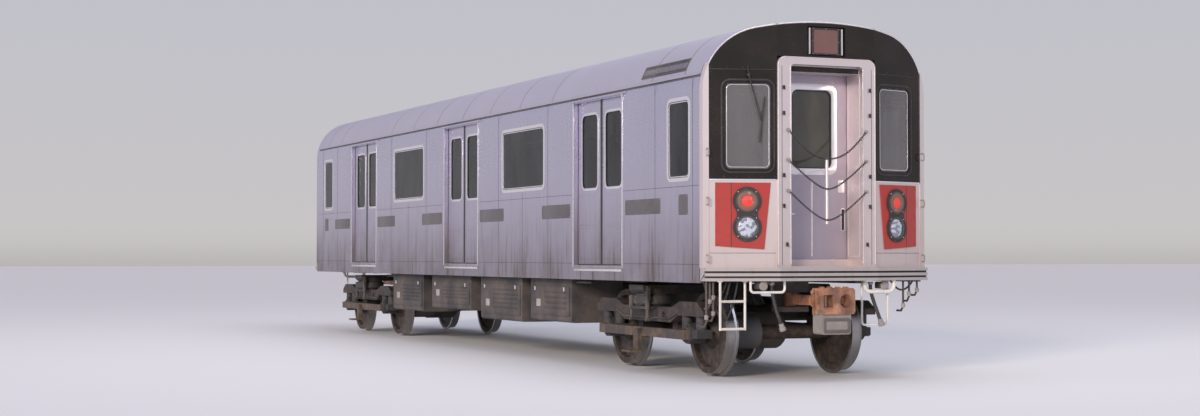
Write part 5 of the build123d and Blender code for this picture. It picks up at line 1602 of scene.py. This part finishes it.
@dataclass
class EndDoorDress(DoorDress):
    """An end door's window rubber and ring, seam strips, lock case, pull with its cup, and screws.

    Nothing stands out more than 4.5 mm, so that the door slides clear of its pocket.
    """

    end: End
    window: Box = (-0.302, 0.302, 2.113, 3.062)
    ring_face: float = 0.004
    ring_width: float = 0.066
    lock: Box = (0.31, 0.39, 1.93, 2.06)
    pull: Box = (0.345, 0.395, 1.53, 1.77)
    pull_rim: float = 0.008

    def build(self) -> None:
        """Dresses the door."""
        flat = front_flat(-7.314) if self.end is End.FRONT else rear_flat(7.572)
        lay = flat.matrix()
        rubber = band(self.window, -self.ring_width, self.ring_width + 0.014, 0.070, 0.058)
        self._make(Form().plate(flat, rubber, -0.012, self.ring_face + 0.0003), "window_rubber", "black_rubber")
        ring = band(self.window, 0.0, self.ring_width, 0.096, 0.068)
        trim = Form().plate(flat, ring, self.ring_face - 0.003, self.ring_face + 0.0007, 0.0024)
        for x in (-0.006, 0.006):
            trim.box((x - 0.003, x + 0.003), (1.27, self.window[2] - 0.06), (0.0, 0.0036), 0.001, 1, lay)
        trim.box((-0.37, -0.20), (1.700, 1.712), (-0.001, 0.0042), 0.001, 1, lay)
        self._make(trim, "bright_trim", "bright_steel")
        lock = Form().plate(flat, [rounded(*self.lock, 0.012)], 0.0, 0.0030, 0.0012)
        lock.rod(flat.at(0.362, 1.960, 0.0028), flat.at(0.362, 1.960, 0.0040), 0.011, 20)
        lock.plate(flat, [rounded(0.322, 0.378, 2.012, 2.028, 0.007)], 0.0028, 0.0043, 0.0006)
        pull = band(self.pull, 0.0, self.pull_rim, 0.0245, 0.0165)
        self._make(lock.plate(flat, pull, 0.0, 0.0034, 0.0012), "lock_and_pull", "bright_steel")
        self._make(Form().plate(flat, pull[1:], 0.0002, 0.0009, 0.0003), "pull_cup", "black_rubber")
        places = around(self.window, self.ring_width / 2, 0.16)
        self._make(Form().bolts(flat, places, 0.0045, 0.0008, 8, proud=0.0044), "screws", "bright_steel")


@dataclass
class SideDoorLeaf(DoorDress):
    """A side door leaf's bright window frame, window rubber, nosing, pressed panels and rivets."""

    side: Side
    centre: float
    way: int
    x: float = 1.25
    lead_gap: float = 0.0015
    window: Point2 = (2.05, 2.90)
    span: Point2 = (0.110, 0.560)
    nosing: Point2 = (0.0005, 0.022)
    panel: Point2 = (0.060, 0.640)
    panels: tuple[Point2, ...] = ((1.235, 1.600), (1.625, 1.985))
    foot: float = 1.176

    def build(self) -> None:
        """Dresses the leaf."""
        flat = side_flat(self.side, self.x)
        window = (*self._reach(self.span), *self.window)
        frame_band = band(window, 0.026, 0.004, 0.092, 0.066)
        self._make(Form().plate(flat, frame_band, 0.0, 0.0045), "window_frame", "bright_steel")
        rubber = Form().plate(flat, band(window, 0.001, 0.012, 0.071, 0.058), -0.008, 0.003, 0.001)
        nosing = rounded(*self._reach(self.nosing), self.foot + 0.004, 3.045, 0.002, 2)
        self._make(rubber.plate(flat, [nosing], 0.0005, 0.0052), "rubber", "black_rubber")
        ends = self._reach(self.panel)
        press = Form()
        for low, high in self.panels:
            press.plate(flat, band((*ends, low, high), 0.0, 0.012, 0.02, 0.012), 0.0, 0.0022, 0.001)
        press.bolts(flat, [(y, 1.205) for y in spaced(*ends, 0.12)], 0.0042, 0.0018, 8)
        self._make(press, "pressing", "stainless")

    def _reach(self, span: Point2) -> Point2:
        """The y of two distances back from the leaf's leading edge, the lower first."""
        low, high = sorted(self.centre + self.way * (self.lead_gap + distance) for distance in span)
        return low, high


# the roof's section: the crown's radius and centre height, and the shoulders' radius and centre
CROWN_R = 4.0
CROWN_Z = -0.332
SHOULDER_R = 0.65
SHOULDER_X = 0.66
SHOULDER_Z = 2.9523
EAVE_Z = 3.112


def shoulder_flat(side: Side, angle: float, sunk: float = 0.0) -> Flat:
    """The plane on a roof shoulder that faces out at an angle above the level, let in by sunk."""
    c, s, r = math.cos(angle), math.sin(angle), SHOULDER_R - sunk
    return leaning_flat(side, (SHOULDER_X + r * c, SHOULDER_Z + r * s), (-s, c), (c, s))


def arch(steps: int = 9) -> list[tuple[Point2, Point2]]:
    """The roof's cross section from one eave to the other.

    Args:
        steps: points in each arc less one.

    Returns:
        Each point's (x, z) and its outward way.
    """
    half_angle = math.atan2(SHOULDER_X, SHOULDER_Z - CROWN_Z)
    eave_angle = math.asin((EAVE_Z - SHOULDER_Z) / SHOULDER_R)
    turn = math.pi / 2 - half_angle
    half = []
    for i in range(steps + 1):
        a = half_angle * i / steps
        half.append((CROWN_R * math.sin(a), CROWN_Z + CROWN_R * math.cos(a), a))
    for i in range(1, steps + 1):
        a = turn + (eave_angle - turn) * i / steps
        half.append((SHOULDER_X + SHOULDER_R * math.cos(a), SHOULDER_Z + SHOULDER_R * math.sin(a), math.pi / 2 - a))
    right = [((-x, z), (-math.sin(a), math.cos(a))) for x, z, a in reversed(half[1:])]
    return right + [((x, z), (math.sin(a), math.cos(a))) for x, z, a in half]


@dataclass
class Sides:
    """What is fixed to both side walls: sills, belt plates, seams and window lines, with a painted shadow strip under
    each gutter.
    """

    doorway_half: float = 0.686
    doorway_z: Point2 = (1.138, 3.068)
    sill_half: float = 0.684
    plate_z: float = 1.80
    # the height of the painted shadow strip under the gutter
    seal_z: float = 3.098
    uprights: tuple[float, ...] = (-7.18, -6.28, -3.22, -2.36, -1.50, 1.50, 2.36, 3.22, 6.28, 7.18)
    walls: tuple[Point2, ...] = ((-7.325, -5.44), (-4.0, -0.72), (0.72, 4.0), (5.44, 7.48))
    # each window's middle, before and behind the car's, its length, sill and height
    windows: tuple[Box, ...] = ((2.36, 1.5, 2.078, 0.81), (6.845, 0.56, 2.04, 0.87))

    def build(self) -> None:
        """Dresses both sides."""
        bright, rivets, dark, seams, frames, gutter_shadow_form = (Form() for _ in range(6))
        gutter_shadow_angle = math.asin((self.seal_z - SHOULDER_Z) / SHOULDER_R)
        for side in BOTH:
            flat = side_flat(side)
            for centre in DOORWAYS:
                self._doorway(bright, rivets, flat, centre)
            self._belt_plates(dark, frames, flat)
            self._seams(seams, rivets, flat)
            self._windows(frames, dark, flat)
            # a thin dark strip under the gutter: a painted shadow
            gutter_shadow_plane = shoulder_flat(side, gutter_shadow_angle).matrix()
            gutter_shadow_form.box((self.walls[0][0], self.walls[-1][1]), (-0.010, 0.010), (-0.001, 0.003), 0.001, 1, gutter_shadow_plane)
        bright.make("doorway_strips", "bright_steel")
        gutter_shadow_form.make("gutter_seals", "grille_dark")
        rivets.make("side_rivets", "stainless")
        dark.make("belt_plates", "grille_dark", LOOK.blank_plate)
        frames.make("window_beads_and_plate_frames", "bright_steel")
        seams.make("side_seams", "grille_dark", LOOK.black_rubber)

    def _doorway(self, bright: Form, rivets: Form, flat: Flat, centre: float) -> None:
        """Adds a doorway's jamb strips, and its threshold's bright plate with countersunk screws.

        Args:
            bright: what the strips, the plate and the screws are added to.
            rivets: what the strips' rivets are added to.
            flat: the wall's plane.
            centre: the doorway's middle.
        """
        for way in (-1, 1):
            edge = centre + way * self.doorway_half
            bright.plate(flat, strip(edge + way * 0.016, 0.014, *self.doorway_z, 0.004), -0.001, 0.0025, 0.001)
            places = [(edge + way * 0.016, z) for z in spaced(1.22, 3.0, 0.12)]
            rivets.bolts(flat, places, 0.004, 0.0018, 8, proud=0.0025)
        bright.plate(flat, strip(centre, self.sill_half, 1.100, 1.166, 0.004), -0.001, 0.0022, 0.001)
        screws = [(y, 1.110) for y in spaced(centre - 0.65, centre + 0.65, 0.13)]
        bright.bolts(flat, screws, 0.005, 0.0014, 8, proud=0.0022)

    def _belt_plates(self, dark: Form, frames: Form, flat: Flat) -> None:
        """Adds the blank plates beside the doors, and the small square ones near the ends.

        Args:
            dark: what the plates are added to.
            frames: what their screws are added to.
            flat: the wall's plane.
        """
        spots = [(centre + way * 1.24, 0.45, 0.082) for centre in DOORWAYS for way in (-1, 1)]
        for y, half, rise in (*spots, (-6.96, 0.105, 0.105), (6.96, 0.105, 0.105)):
            box = (y - half, y + half, self.plate_z - rise, self.plate_z + rise)
            dark.plate(flat, [rounded(*box, 0.012, 3)], 0.0, 0.003, 0.001)
            frames.bolts(flat, around(box, 0.016, 0.3), 0.0045, 0.0018, 8, proud=0.003)

    def _seams(self, seams: Form, rivets: Form, flat: Flat) -> None:
        """Adds the upright sheet seams, and the seams and rivets along the sill and the waist.

        Args:
            seams: what the seams are added to.
            rivets: what the rivets are added to.
            flat: the wall's plane.
        """
        for y in self.uprights:
            top = 2.06 if abs(y) == 2.36 else 3.09
            seams.plate(flat, strip(y, 0.0025, 1.02, top, 0.001, 1), 0.0, 0.0012, 0.0004)
            rivets.bolts(flat, [(y + 0.022, z) for z in spaced(1.08, min(top, 2.0), 0.115)], 0.0038, 0.0016, 8)
        for a, b in self.walls:
            for z in (1.045, 1.165):
                rivets.bolts(flat, [(y, z) for y in spaced(a + 0.05, b - 0.05, 0.16)], 0.0042, 0.0018, 8)
            for z in (1.186, 1.985):
                seams.plate(flat, [rounded(a, b, z, z + 0.004, 0.001, 1)], 0.0, 0.0012, 0.0004)

    def _windows(self, frames: Form, dark: Form, flat: Flat) -> None:
        """Adds the second bright line inside each window's frame, on its black rubber.

        Args:
            frames: what the lines are added to.
            dark: what the rubbers are added to.
            flat: the wall's plane.
        """
        for middle, length, sill, height in self.windows:
            for y in (-middle, middle):
                box = (y - length / 2, y + length / 2, sill, sill + height)
                frames.plate(flat, band(box, -0.046, 0.056, 0.050, 0.042), -0.013, -0.004)
                dark.plate(flat, band(box, -0.034, 0.050, 0.058, 0.046), -0.013, -0.006, 0.001)


@dataclass
class Roof:
    """The roof's cross seams, and the ventilation units' slats and lid screws."""

    straps: tuple[float, ...] = (-6.95, -6.15, -3.30, -2.20, -1.10, 0.0, 1.10, 2.20, 3.30, 6.15, 6.95)
    strap_half: float = 0.022
    strap_proud: float = 0.0018
    units: tuple[float, ...] = (-4.72, 4.72)
    slots: int = 15
    slot_pitch: float = 0.16
    lid_x: float = 0.52

    def build(self) -> None:
        """Dresses the roof."""
        straps, slats, screws = Form(), Form(), Form()
        for y in self.straps:
            self._strap(straps, y)
        straps.make("roof_seams", "roof_metal", LOOK.roof_strap)
        for centre in self.units:
            self._unit(slats, screws, centre)
        slats.make("roof_unit_slats", "grille_dark")
        screws.make("roof_unit_screws", "bright_steel")

    def _strap(self, form: Form, y: float) -> None:
        """Adds a thin strap over the roof from eave to eave.

        Args:
            form: what it is added to.
            y: its middle.
        """
        half, proud = self.strap_half, self.strap_proud
        edge = ((-half, -0.0005), (-half * 0.8, proud), (half * 0.8, proud), (half, -0.0005))
        rings = [[Vector((x + nx * up, y + dy, z + nz * up)) for dy, up in edge] for (x, z), (nx, nz) in arch()]
        form.skin(rings, Ends.OPEN)

    def _unit(self, slats: Form, screws: Form, centre: float) -> None:
        """Adds the slats down in a unit's slots, and the screws round its lid.

        Args:
            slats: what the slats are added to.
            screws: what the screws are added to.
            centre: the unit's middle.
        """
        tilt = Matrix.Rotation(math.radians(38), 4, "X")
        for i in range(self.slots):
            y = centre + (i - (self.slots - 1) / 2) * self.slot_pitch
            for x in (-0.28, 0.28):
                for dy in (-0.018, 0.0, 0.018):
                    turn = Matrix.Translation((x, y + dy, 3.618)) @ tilt
                    slats.box((-0.186, 0.186), (-0.0015, 0.0015), (-0.014, 0.014), 0.0006, 1, turn)
        z = CROWN_Z + math.sqrt((CROWN_R + 0.004) ** 2 - self.lid_x**2) - 0.001
        for y in spaced(centre - 1.26, centre + 1.26, 0.25):
            for x in (-self.lid_x, self.lid_x):
                screws.lathe((x, y, z), (x / CROWN_R, 0, 1), [(0.008, 0.0), (0.008, 0.003), (0.005, 0.0045)], 10)


@dataclass
class Underfloor:
    """Latches, ribs, blank labels, pipes and conduits of the underfloor cases and tanks."""

    # each case's side, y from and to, and foot; the louvred and the ribbed ones take turns
    cases: tuple[tuple[int, float, float, float], ...] = (
        (-1, -3.60, -2.25, 0.47),
        (1, -3.60, -1.90, 0.52),
        (-1, -1.95, -0.40, 0.43),
        (1, -1.50, 0.30, 0.45),
        (-1, 0.0, 1.70, 0.52),
        (1, 0.70, 2.00, 0.43),
        (-1, 2.10, 3.60, 0.45),
        (1, 2.40, 3.60, 0.50),
    )
    case_x: float = 1.15
    case_top: float = 0.99
    # each pipe's x, height and radius
    pipes: tuple[Point3, ...] = (
        (-0.30, 0.968, 0.019),
        (-0.24, 0.972, 0.013),
        (0.30, 0.968, 0.019),
        (0.235, 0.972, 0.011),
    )

    def build(self) -> None:
        """Dresses the cases and hangs the pipes."""
        dark, bright, labels = Form(), Form(), Form()
        for index, (way, y0, y1, foot) in enumerate(self.cases):
            x = way * self.case_x
            flat = side_flat(Side(way), self.case_x + 0.014)
            a, b, low, high = box = (y0 + 0.06, y1 - 0.06, foot + 0.08, self.case_top - 0.09)
            dark.bolts(flat, around(box, 0.02, 0.17), 0.008, 0.005, 6)
            if index % 2 == 0:
                turn = Matrix.Rotation(way * math.radians(35), 4, "Y")
                for z in spaced(low + 0.08, high - 0.08, 0.055):
                    tilt = Matrix.Translation((x + way * 0.016, 0, z)) @ turn
                    dark.box((-0.0015, 0.0015), (a + 0.10, b - 0.45), (-0.018, 0.018), 0.0006, 1, tilt)
            else:
                for y in spaced(a + 0.2, b - 0.2, 0.32):
                    dark.plate(flat, strip(y, 0.012, low + 0.05, high - 0.05, 0.01, 3), 0.0, 0.012, 0.005)
            for y in (a + 0.14, b - 0.14):
                bright.plate(flat, strip(y, 0.016, high - 0.055, high - 0.005, 0.006, 3), 0.0, 0.014, 0.003)
                pin_x, pin_z = x + way * 0.026, high - 0.012
                bright.rod((pin_x, y - 0.024, pin_z), (pin_x, y + 0.024, pin_z), 0.004, 8)
            labels.plate(flat, strip(b - 0.24, 0.07, low + 0.10, low + 0.19, 0.006), 0.0, 0.002, 0.0006)
        self._pipes(dark)
        dark.make("underfloor_fittings", "underframe_black")
        bright.make("underfloor_latches", "bright_steel")
        labels.make("underfloor_blank_labels", "sign_face", LOOK.blank_label)

    def _pipes(self, form: Form) -> None:
        """Adds the brake pipe and the conduits along the beams, with their clips.

        Args:
            form: what they are added to.
        """
        for x, z, radius in self.pipes:
            form.rod((x, -3.9, z), (x, 3.9, z), radius, 12)
            reach = radius + 0.006
            for y in spaced(-3.66, 3.66, 0.915):
                form.box((x - reach, x + reach), (y - 0.012, y + 0.012), (z - radius * 0.3, 0.9895), 0.003, 1)
        for x in (-1.10, 1.10):
            for y0, y1 in ((3.65, 4.1), (-4.1, -3.65)):
                form.rod((x, y0, 0.962), (x, y1, 0.962), 0.016, 12)


@dataclass
class BogieDress:
    """One bogie's axle-box covers with their bolts, its dampers and its air pipes."""

    name: str
    centre: float
    half_base: float = 1.0415
    axle_z: float = 0.46
    box_face: float = 1.058
    bolt_circle: float = 0.070
    # the covers' and the dampers' profiles, as radius and distance along them
    cover: tuple[Point2, ...] = (
        *((0.088, -0.001), (0.088, 0.008), (0.080, 0.014)),
        *((0.050, 0.016), (0.044, 0.020), (0.0, 0.021)),
    )
    damper: tuple[Point2, ...] = (
        *((0.012, 0.0), (0.020, 0.004), (0.020, 0.10)),
        *((0.029, 0.104), (0.029, 0.25), (0.014, 0.256)),
    )

    def build(self) -> None:
        """Dresses the bogie."""
        covers, bolts, pipes = Form(), Form(), Form()
        turns = [i * math.pi / 4 for i in range(8)]
        for side in BOTH:
            flat = side_flat(side, self.box_face)
            for way in (-1, 1):
                y = self.centre + way * self.half_base
                covers.lathe(flat.at(y, self.axle_z), flat.out, self.cover, 32)
                r = self.bolt_circle
                ring = [(y + r * math.cos(a), self.axle_z + r * math.sin(a)) for a in turns]
                bolts.bolts(flat, ring, 0.008, 0.008, 6, proud=0.0145)
        self._dampers(pipes)
        self._brake_pipes(pipes)
        covers.make(f"{self.name}_axle_covers", "bogie_steel", body=self.name)
        bolts.make(f"{self.name}_cover_bolts", "bogie_steel", LOOK.motor_grey, self.name)
        pipes.make(f"{self.name}_dampers_and_pipes", "bogie_steel", LOOK.underframe_black, self.name)

    def _dampers(self, form: Form) -> None:
        """Adds the upright dampers between the side beams and the bolster's ends.

        Args:
            form: what they are added to.
        """
        for x in (-1.128, 1.128):
            for way in (-1, 1):
                y = self.centre + way * 0.21
                form.lathe((x, y, 0.585), (0, 0, 1), self.damper, 16)
                form.rod((x - 0.026, y, 0.578), (x + 0.026, y, 0.578), 0.020, 16)
                form.rod((x, y, 0.578), (x - math.copysign(0.09, x), y, 0.600), 0.012, 10)

    def _brake_pipes(self, form: Form) -> None:
        """Adds the air pipes along the side beams' outer faces, down to the brake units, with clips.

        Args:
            form: what they are added to.
        """
        bends = ((-0.80, 0.668), (-0.60, 0.600), (0.60, 0.600), (0.80, 0.668))
        for side in BOTH:
            x = side.value * 1.0475
            form.tube([(x, self.centre + dy, z) for dy, z in bends], 0.0075, 8)
            for y in spaced(self.centre - 0.5, self.centre + 0.5, 0.25):
                form.box((x - 0.009, x + 0.009), (y - 0.012, y + 0.012), (0.589, 0.611), 0.003, 1)


@dataclass
class CouplerDress:
    """The front coupler's face bolts and casting ribs, and its grey box's rim."""

    body: str = "coupler_front"
    face_y: float = -7.825
    lid_y: float = -7.813

    def build(self) -> None:
        """Dresses the coupler."""
        face, lid = front_flat(self.face_y + 0.0032), front_flat(self.lid_y)
        places = [(x, z) for x in (-0.185, 0.185) for z in spaced(0.72, 0.91, 0.09)]
        bolts = Form().bolts(face, places, 0.010, 0.003, 6, proud=-0.003)
        bolts.bolts(lid, around((-0.14, 0.14, 0.51, 0.63), 0.0, 0.14), 0.007, 0.005, 6)
        bolts.make("coupler_bolts", "coupler_orange", body=self.body)
        ribs = Form()
        for x in (-0.14, -0.047, 0.047, 0.14):
            ribs.box((x - 0.008, x + 0.008), (-7.80, -7.70), (0.945, 0.962), 0.004)
        ribs.rod((-0.23, -7.70, 0.905), (-0.205, -7.70, 0.905), 0.022, 16)
        ribs.make("coupler_ribs", "coupler_orange", body=self.body)
        rim = Form().plate(lid, band((-0.155, 0.155, 0.498, 0.643), 0.0, 0.030, 0.02, 0.012), 0.0, 0.006)
        rim.make("coupler_box_rim", "motor_grey", body=self.body)


@dataclass
class EndGear:
    """What hangs under the front's corners: conduit with cocks, jumper sockets, brake hose and cables."""

    y: float = -7.545
    top: float = 1.006
    bar_top: float = 1.0185
    # each conduit's x, foot and its cocks' heights
    drops: tuple[tuple[float, float, tuple[float, ...]], ...] = (
        (1.08, 0.80, (0.88,)),
        (0.99, 0.70, (0.76,)),
        (1.20, 0.86, (0.92,)),
        (-1.205, 0.62, (0.86, 0.70)),
        (-1.238, 0.74, (0.82,)),
        (-1.272, 0.56, (0.66,)),
    )
    # each cable's x from and to, its sag and how far behind the bar's middle it hangs
    cables: tuple[Box, ...] = (
        (-1.24, -1.06, 0.17, 0.03),
        (-1.28, -1.02, 0.30, 0.04),
        (-1.22, -0.94, 0.40, 0.05),
        (0.80, 1.14, 0.10, 0.0),
    )
    # the brake hose's bends from its flange on, in x, y and height
    hose: tuple[Point3, ...] = ((0.01, -0.075, 0.76), (0.03, -0.105, 0.67), (0.06, -0.10, 0.60))
    hose_head: tuple[Point2, ...] = (
        *((0.022, -0.03), (0.026, -0.02), (0.026, 0.012)),
        *((0.034, 0.020), (0.034, 0.046), (0.0, 0.048)),
    )

    def build(self) -> None:
        """Makes the gear."""
        self._cocks()
        self._hoses()
        self._sockets()

    @staticmethod
    def _bar_y(x: float) -> float:
        """The middle of the swept anticlimber's underside at an x."""
        return -7.62 + 0.293 * (abs(x) - 0.56)

    def _cocks(self) -> None:
        """Short conduits with pale cocks: a small one under the left corner, three behind the ladder."""
        dark, pale = Form(), Form()
        cock = [(0.0115, 0.0), (0.020, 0.004), (0.020, 0.046), (0.0115, 0.050)]
        for x, foot, heights in self.drops:
            y = self._bar_y(x)
            dark.tube([(x, y, self.bar_top), (x, y, foot + 0.05), (x, y + 0.04, foot), (x, y + 0.12, foot)], 0.011)
            for z in heights:
                pale.lathe((x, y, z - 0.03), (0, 0, 1), cock, 14)
                pale.rod((x, y - 0.014, z), (x, y - 0.034, z), 0.009, 12)
        dark.make("end_conduits", "underframe_black")
        pale.make("end_cocks", "step_white", LOOK.box_grey)

    def _hoses(self) -> None:
        """The brake hoses with their coupling heads, and slack cables under the ladder's side."""
        hoses, heads = Form(), Form()
        for x, drop in ((0.56, 0.0), (-0.60, 0.035)):
            line = [(x, self.y, self.top), (x, self.y, 0.94), (x, self.y - 0.03, 0.86)]
            line += [(x + dx, self.y + dy, z - drop) for dx, dy, z in self.hose]
            hoses.tube(line, 0.019, 12)
            heads.lathe(line[0], (0, 0, -1), [(0.030, 0.0), (0.030, 0.018), (0.022, 0.030)], 6)
            heads.lathe(line[-1], (0.03, 0.01, -0.07), self.hose_head, 20)
        shares = [i / 14 for i in range(15)]
        for x0, x1, sag, back in self.cables:
            places = [(x0 + (x1 - x0) * t, self.bar_top - 4 * sag * t * (1 - t)) for t in shares]
            hoses.tube([(x, self._bar_y(x) + back, z) for x, z in places], 0.010, 8)
        hoses.make("end_hoses_and_cables", "black_rubber")
        heads.make("brake_hose_heads", "bogie_steel", LOOK.box_grey)

    def _sockets(self) -> None:
        """Jumper sockets with hinged lids under the end sill."""
        cases, lids = Form(), Form()
        lid = [(0.040, 0.0), (0.046, 0.006), (0.046, 0.020), (0.038, 0.027), (0.0, 0.029)]
        for x in (0.70, -0.72):
            cases.box((x - 0.055, x + 0.055), (self.y - 0.035, self.y + 0.06), (0.935, self.top), 0.012, 2)
            lids.lathe((x, self.y - 0.034, 0.968), (0, -1, 0), lid, 24)
            lids.box((x - 0.030, x + 0.030), (self.y - 0.060, self.y - 0.036), (1.002, 1.013), 0.003)
        cases.make("jumper_cases", "underframe_black")
        lids.make("jumper_lids", "step_white", LOOK.box_grey)


@dataclass
class ShoulderGrilles:
    """Air intakes on the roof's shoulders near the cab: a framed plate of slats on each side."""

    angle: float = math.radians(27)
    y0: float = -6.95
    y1: float = -5.85
    rise: float = 0.075
    rim: float = 0.018
    sunk: float = 0.0022
    slat_pitch: float = 0.0125

    def build(self) -> None:
        """Makes both grilles."""
        frames, slats = Form(), Form()
        edges = band((self.y0, self.y1, -self.rise, self.rise), 0.0, self.rim, 0.012, 0.006, 3)
        reach = self.rise - self.rim - 0.008
        for side in BOTH:
            flat = shoulder_flat(side, self.angle, self.sunk)
            frames.plate(flat, edges, -0.004, 0.006)
            slats.plate(flat, edges[1:], -0.004, 0.0012, 0.0004)
            for t in spaced(-reach, reach, self.slat_pitch):
                slat = rounded(self.y0 + 0.02, self.y1 - 0.02, t - 0.003, t + 0.003, 0.002, 2)
                slats.plate(flat, [slat], 0.001, 0.0045, 0.001)
        frames.make("shoulder_grille_frames", "grille_dark")
        slats.make("shoulder_grille_slats", "grille_dark")


@dataclass
class Steps:
    """Sleeves on the ladders' rungs and the feet that hold their rails."""

    # each ladder's y and its rails' x, the lower first
    ladders: tuple[Point3, ...] = ((-7.497, -1.16, -0.88), (7.545, 0.88, 1.16))
    rungs: Point2 = (0.815, 0.538)
    foot_z: float = 1.0185

    def build(self) -> None:
        """Dresses both ladders."""
        sleeves = Form()
        sleeve = [(0.0128, 0.0), (0.0148, 0.002), (0.0148, 0.006), (0.0128, 0.008)]
        for y, x0, x1 in self.ladders:
            for z in self.rungs:
                for x in spaced(x0 + 0.03, x1 - 0.03, 0.022):
                    sleeves.lathe((x - 0.004, y, z), (1, 0, 0), sleeve, 12)
            for x in (x0, x1):
                sleeves.lathe((x, y, self.foot_z), (0, 0, -1), [(0.030, 0.0), (0.030, 0.006), (0.018, 0.010)], 20)
        sleeves.make("ladder_sleeves", "step_white")


@dataclass
class Interior:
    """The saloon's lit strips, the benches' moulded seat shells and the doorways' mats."""

    benches: tuple[Point2, ...] = ((-6.27, -5.53), (-3.91, -0.81), (0.81, 3.91), (5.53, 7.45))
    seat_width: float = 0.452
    gap: float = 0.012
    dish_inset: float = 0.035
    # the seats' and the backs' place, way up and way out, then their rim's and their dish's ends and radius
    shells: tuple[tuple[Point2, Point2, Point2, Point3, Point3], ...] = (
        ((0.770, 1.612), (0.300, -0.016), (0.016, 0.300), (0.012, 0.285, 0.05), (0.045, 0.262, 0.04)),
        ((1.070, 1.596), (0.048, 0.434), (-0.434, 0.048), (0.035, 0.422, 0.06), (0.065, 0.388, 0.045)),
    )

    def build(self) -> None:
        """Makes the lit strips, the shells and the mats."""
        lamps = Form()
        for x in (-0.62, 0.62):
            for y in spaced(-5.6, 6.6, 1.52):
                lamps.box((x - 0.058, x + 0.058), (y - 0.68, y + 0.68), (3.4305, 3.4405), 0.004)
        lamps.make("saloon_lamps", "liner", LOOK.lit)
        self._shells()
        self._mats()

    def _shells(self) -> None:
        """A seat and a back for each place, let a little proud of the benches."""
        shells = Form()
        for side in BOTH:
            planes = [(leaning_flat(side, *lean), rim, dish) for *lean, rim, dish in self.shells]
            for y0, y1 in self.benches:
                count = max(1, int((y1 - y0) / self.seat_width))
                pitch = (y1 - y0) / count
                for i in range(count):
                    a, b = y0 + i * pitch + self.gap, y0 + (i + 1) * pitch - self.gap
                    for flat, rim, dish in planes:
                        inner = rounded(a + self.dish_inset, b - self.dish_inset, *dish)
                        shells.plate(flat, [rounded(a, b, *rim), inner], -0.004, 0.014, 0.006)
        shells.make("seat_shells", "seat_plastic", LOOK.seat_rim)

    @staticmethod
    def _mats() -> None:
        """Ribbed rubber mats inside the doorways."""
        mats = Form()
        for side in BOTH:
            for centre in DOORWAYS:
                for y in spaced(centre - 0.60, centre + 0.60, 0.05):
                    x = (side.value * 0.80, side.value * 1.10)
                    mats.box(x, (y - 0.016, y + 0.016), (1.1675, 1.1705), 0.0012, 1)
        mats.make("doorway_mats", "floor_covering", LOOK.black_rubber)


def main() -> None:
    """Builds and dresses the car, one sub-assembly after another."""
    logging.basicConfig(level=logging.INFO, format="%(message)s")
    bpy.context.scene.view_settings.view_transform = "Standard"
    parts: list[object] = [
        Studio(),
        SafetyChains(),
        CadFinishes(),
        FrontEnd(),
        LampCluster(),
        Windshields(),
        SignBox(),
        EndDoorDress("end_door_front", End.FRONT),
        EndDoorDress("end_door_rear", End.REAR),
        *(SideDoorLeaf(body, *place) for body, place in LEAVES.items()),
        Sides(),
        Roof(),
        Underfloor(),
        BogieDress("bogie_front", -5.4865),
        BogieDress("bogie_rear", 5.4865),
        CouplerDress(),
        EndGear(),
        ShoulderGrilles(),
        Steps(),
        Interior(),
    ]
    for part in parts:
        part.build()
        LOG.info("built %s", getattr(part, "body", type(part).__name__))


if __name__ == "__main__":
    main()
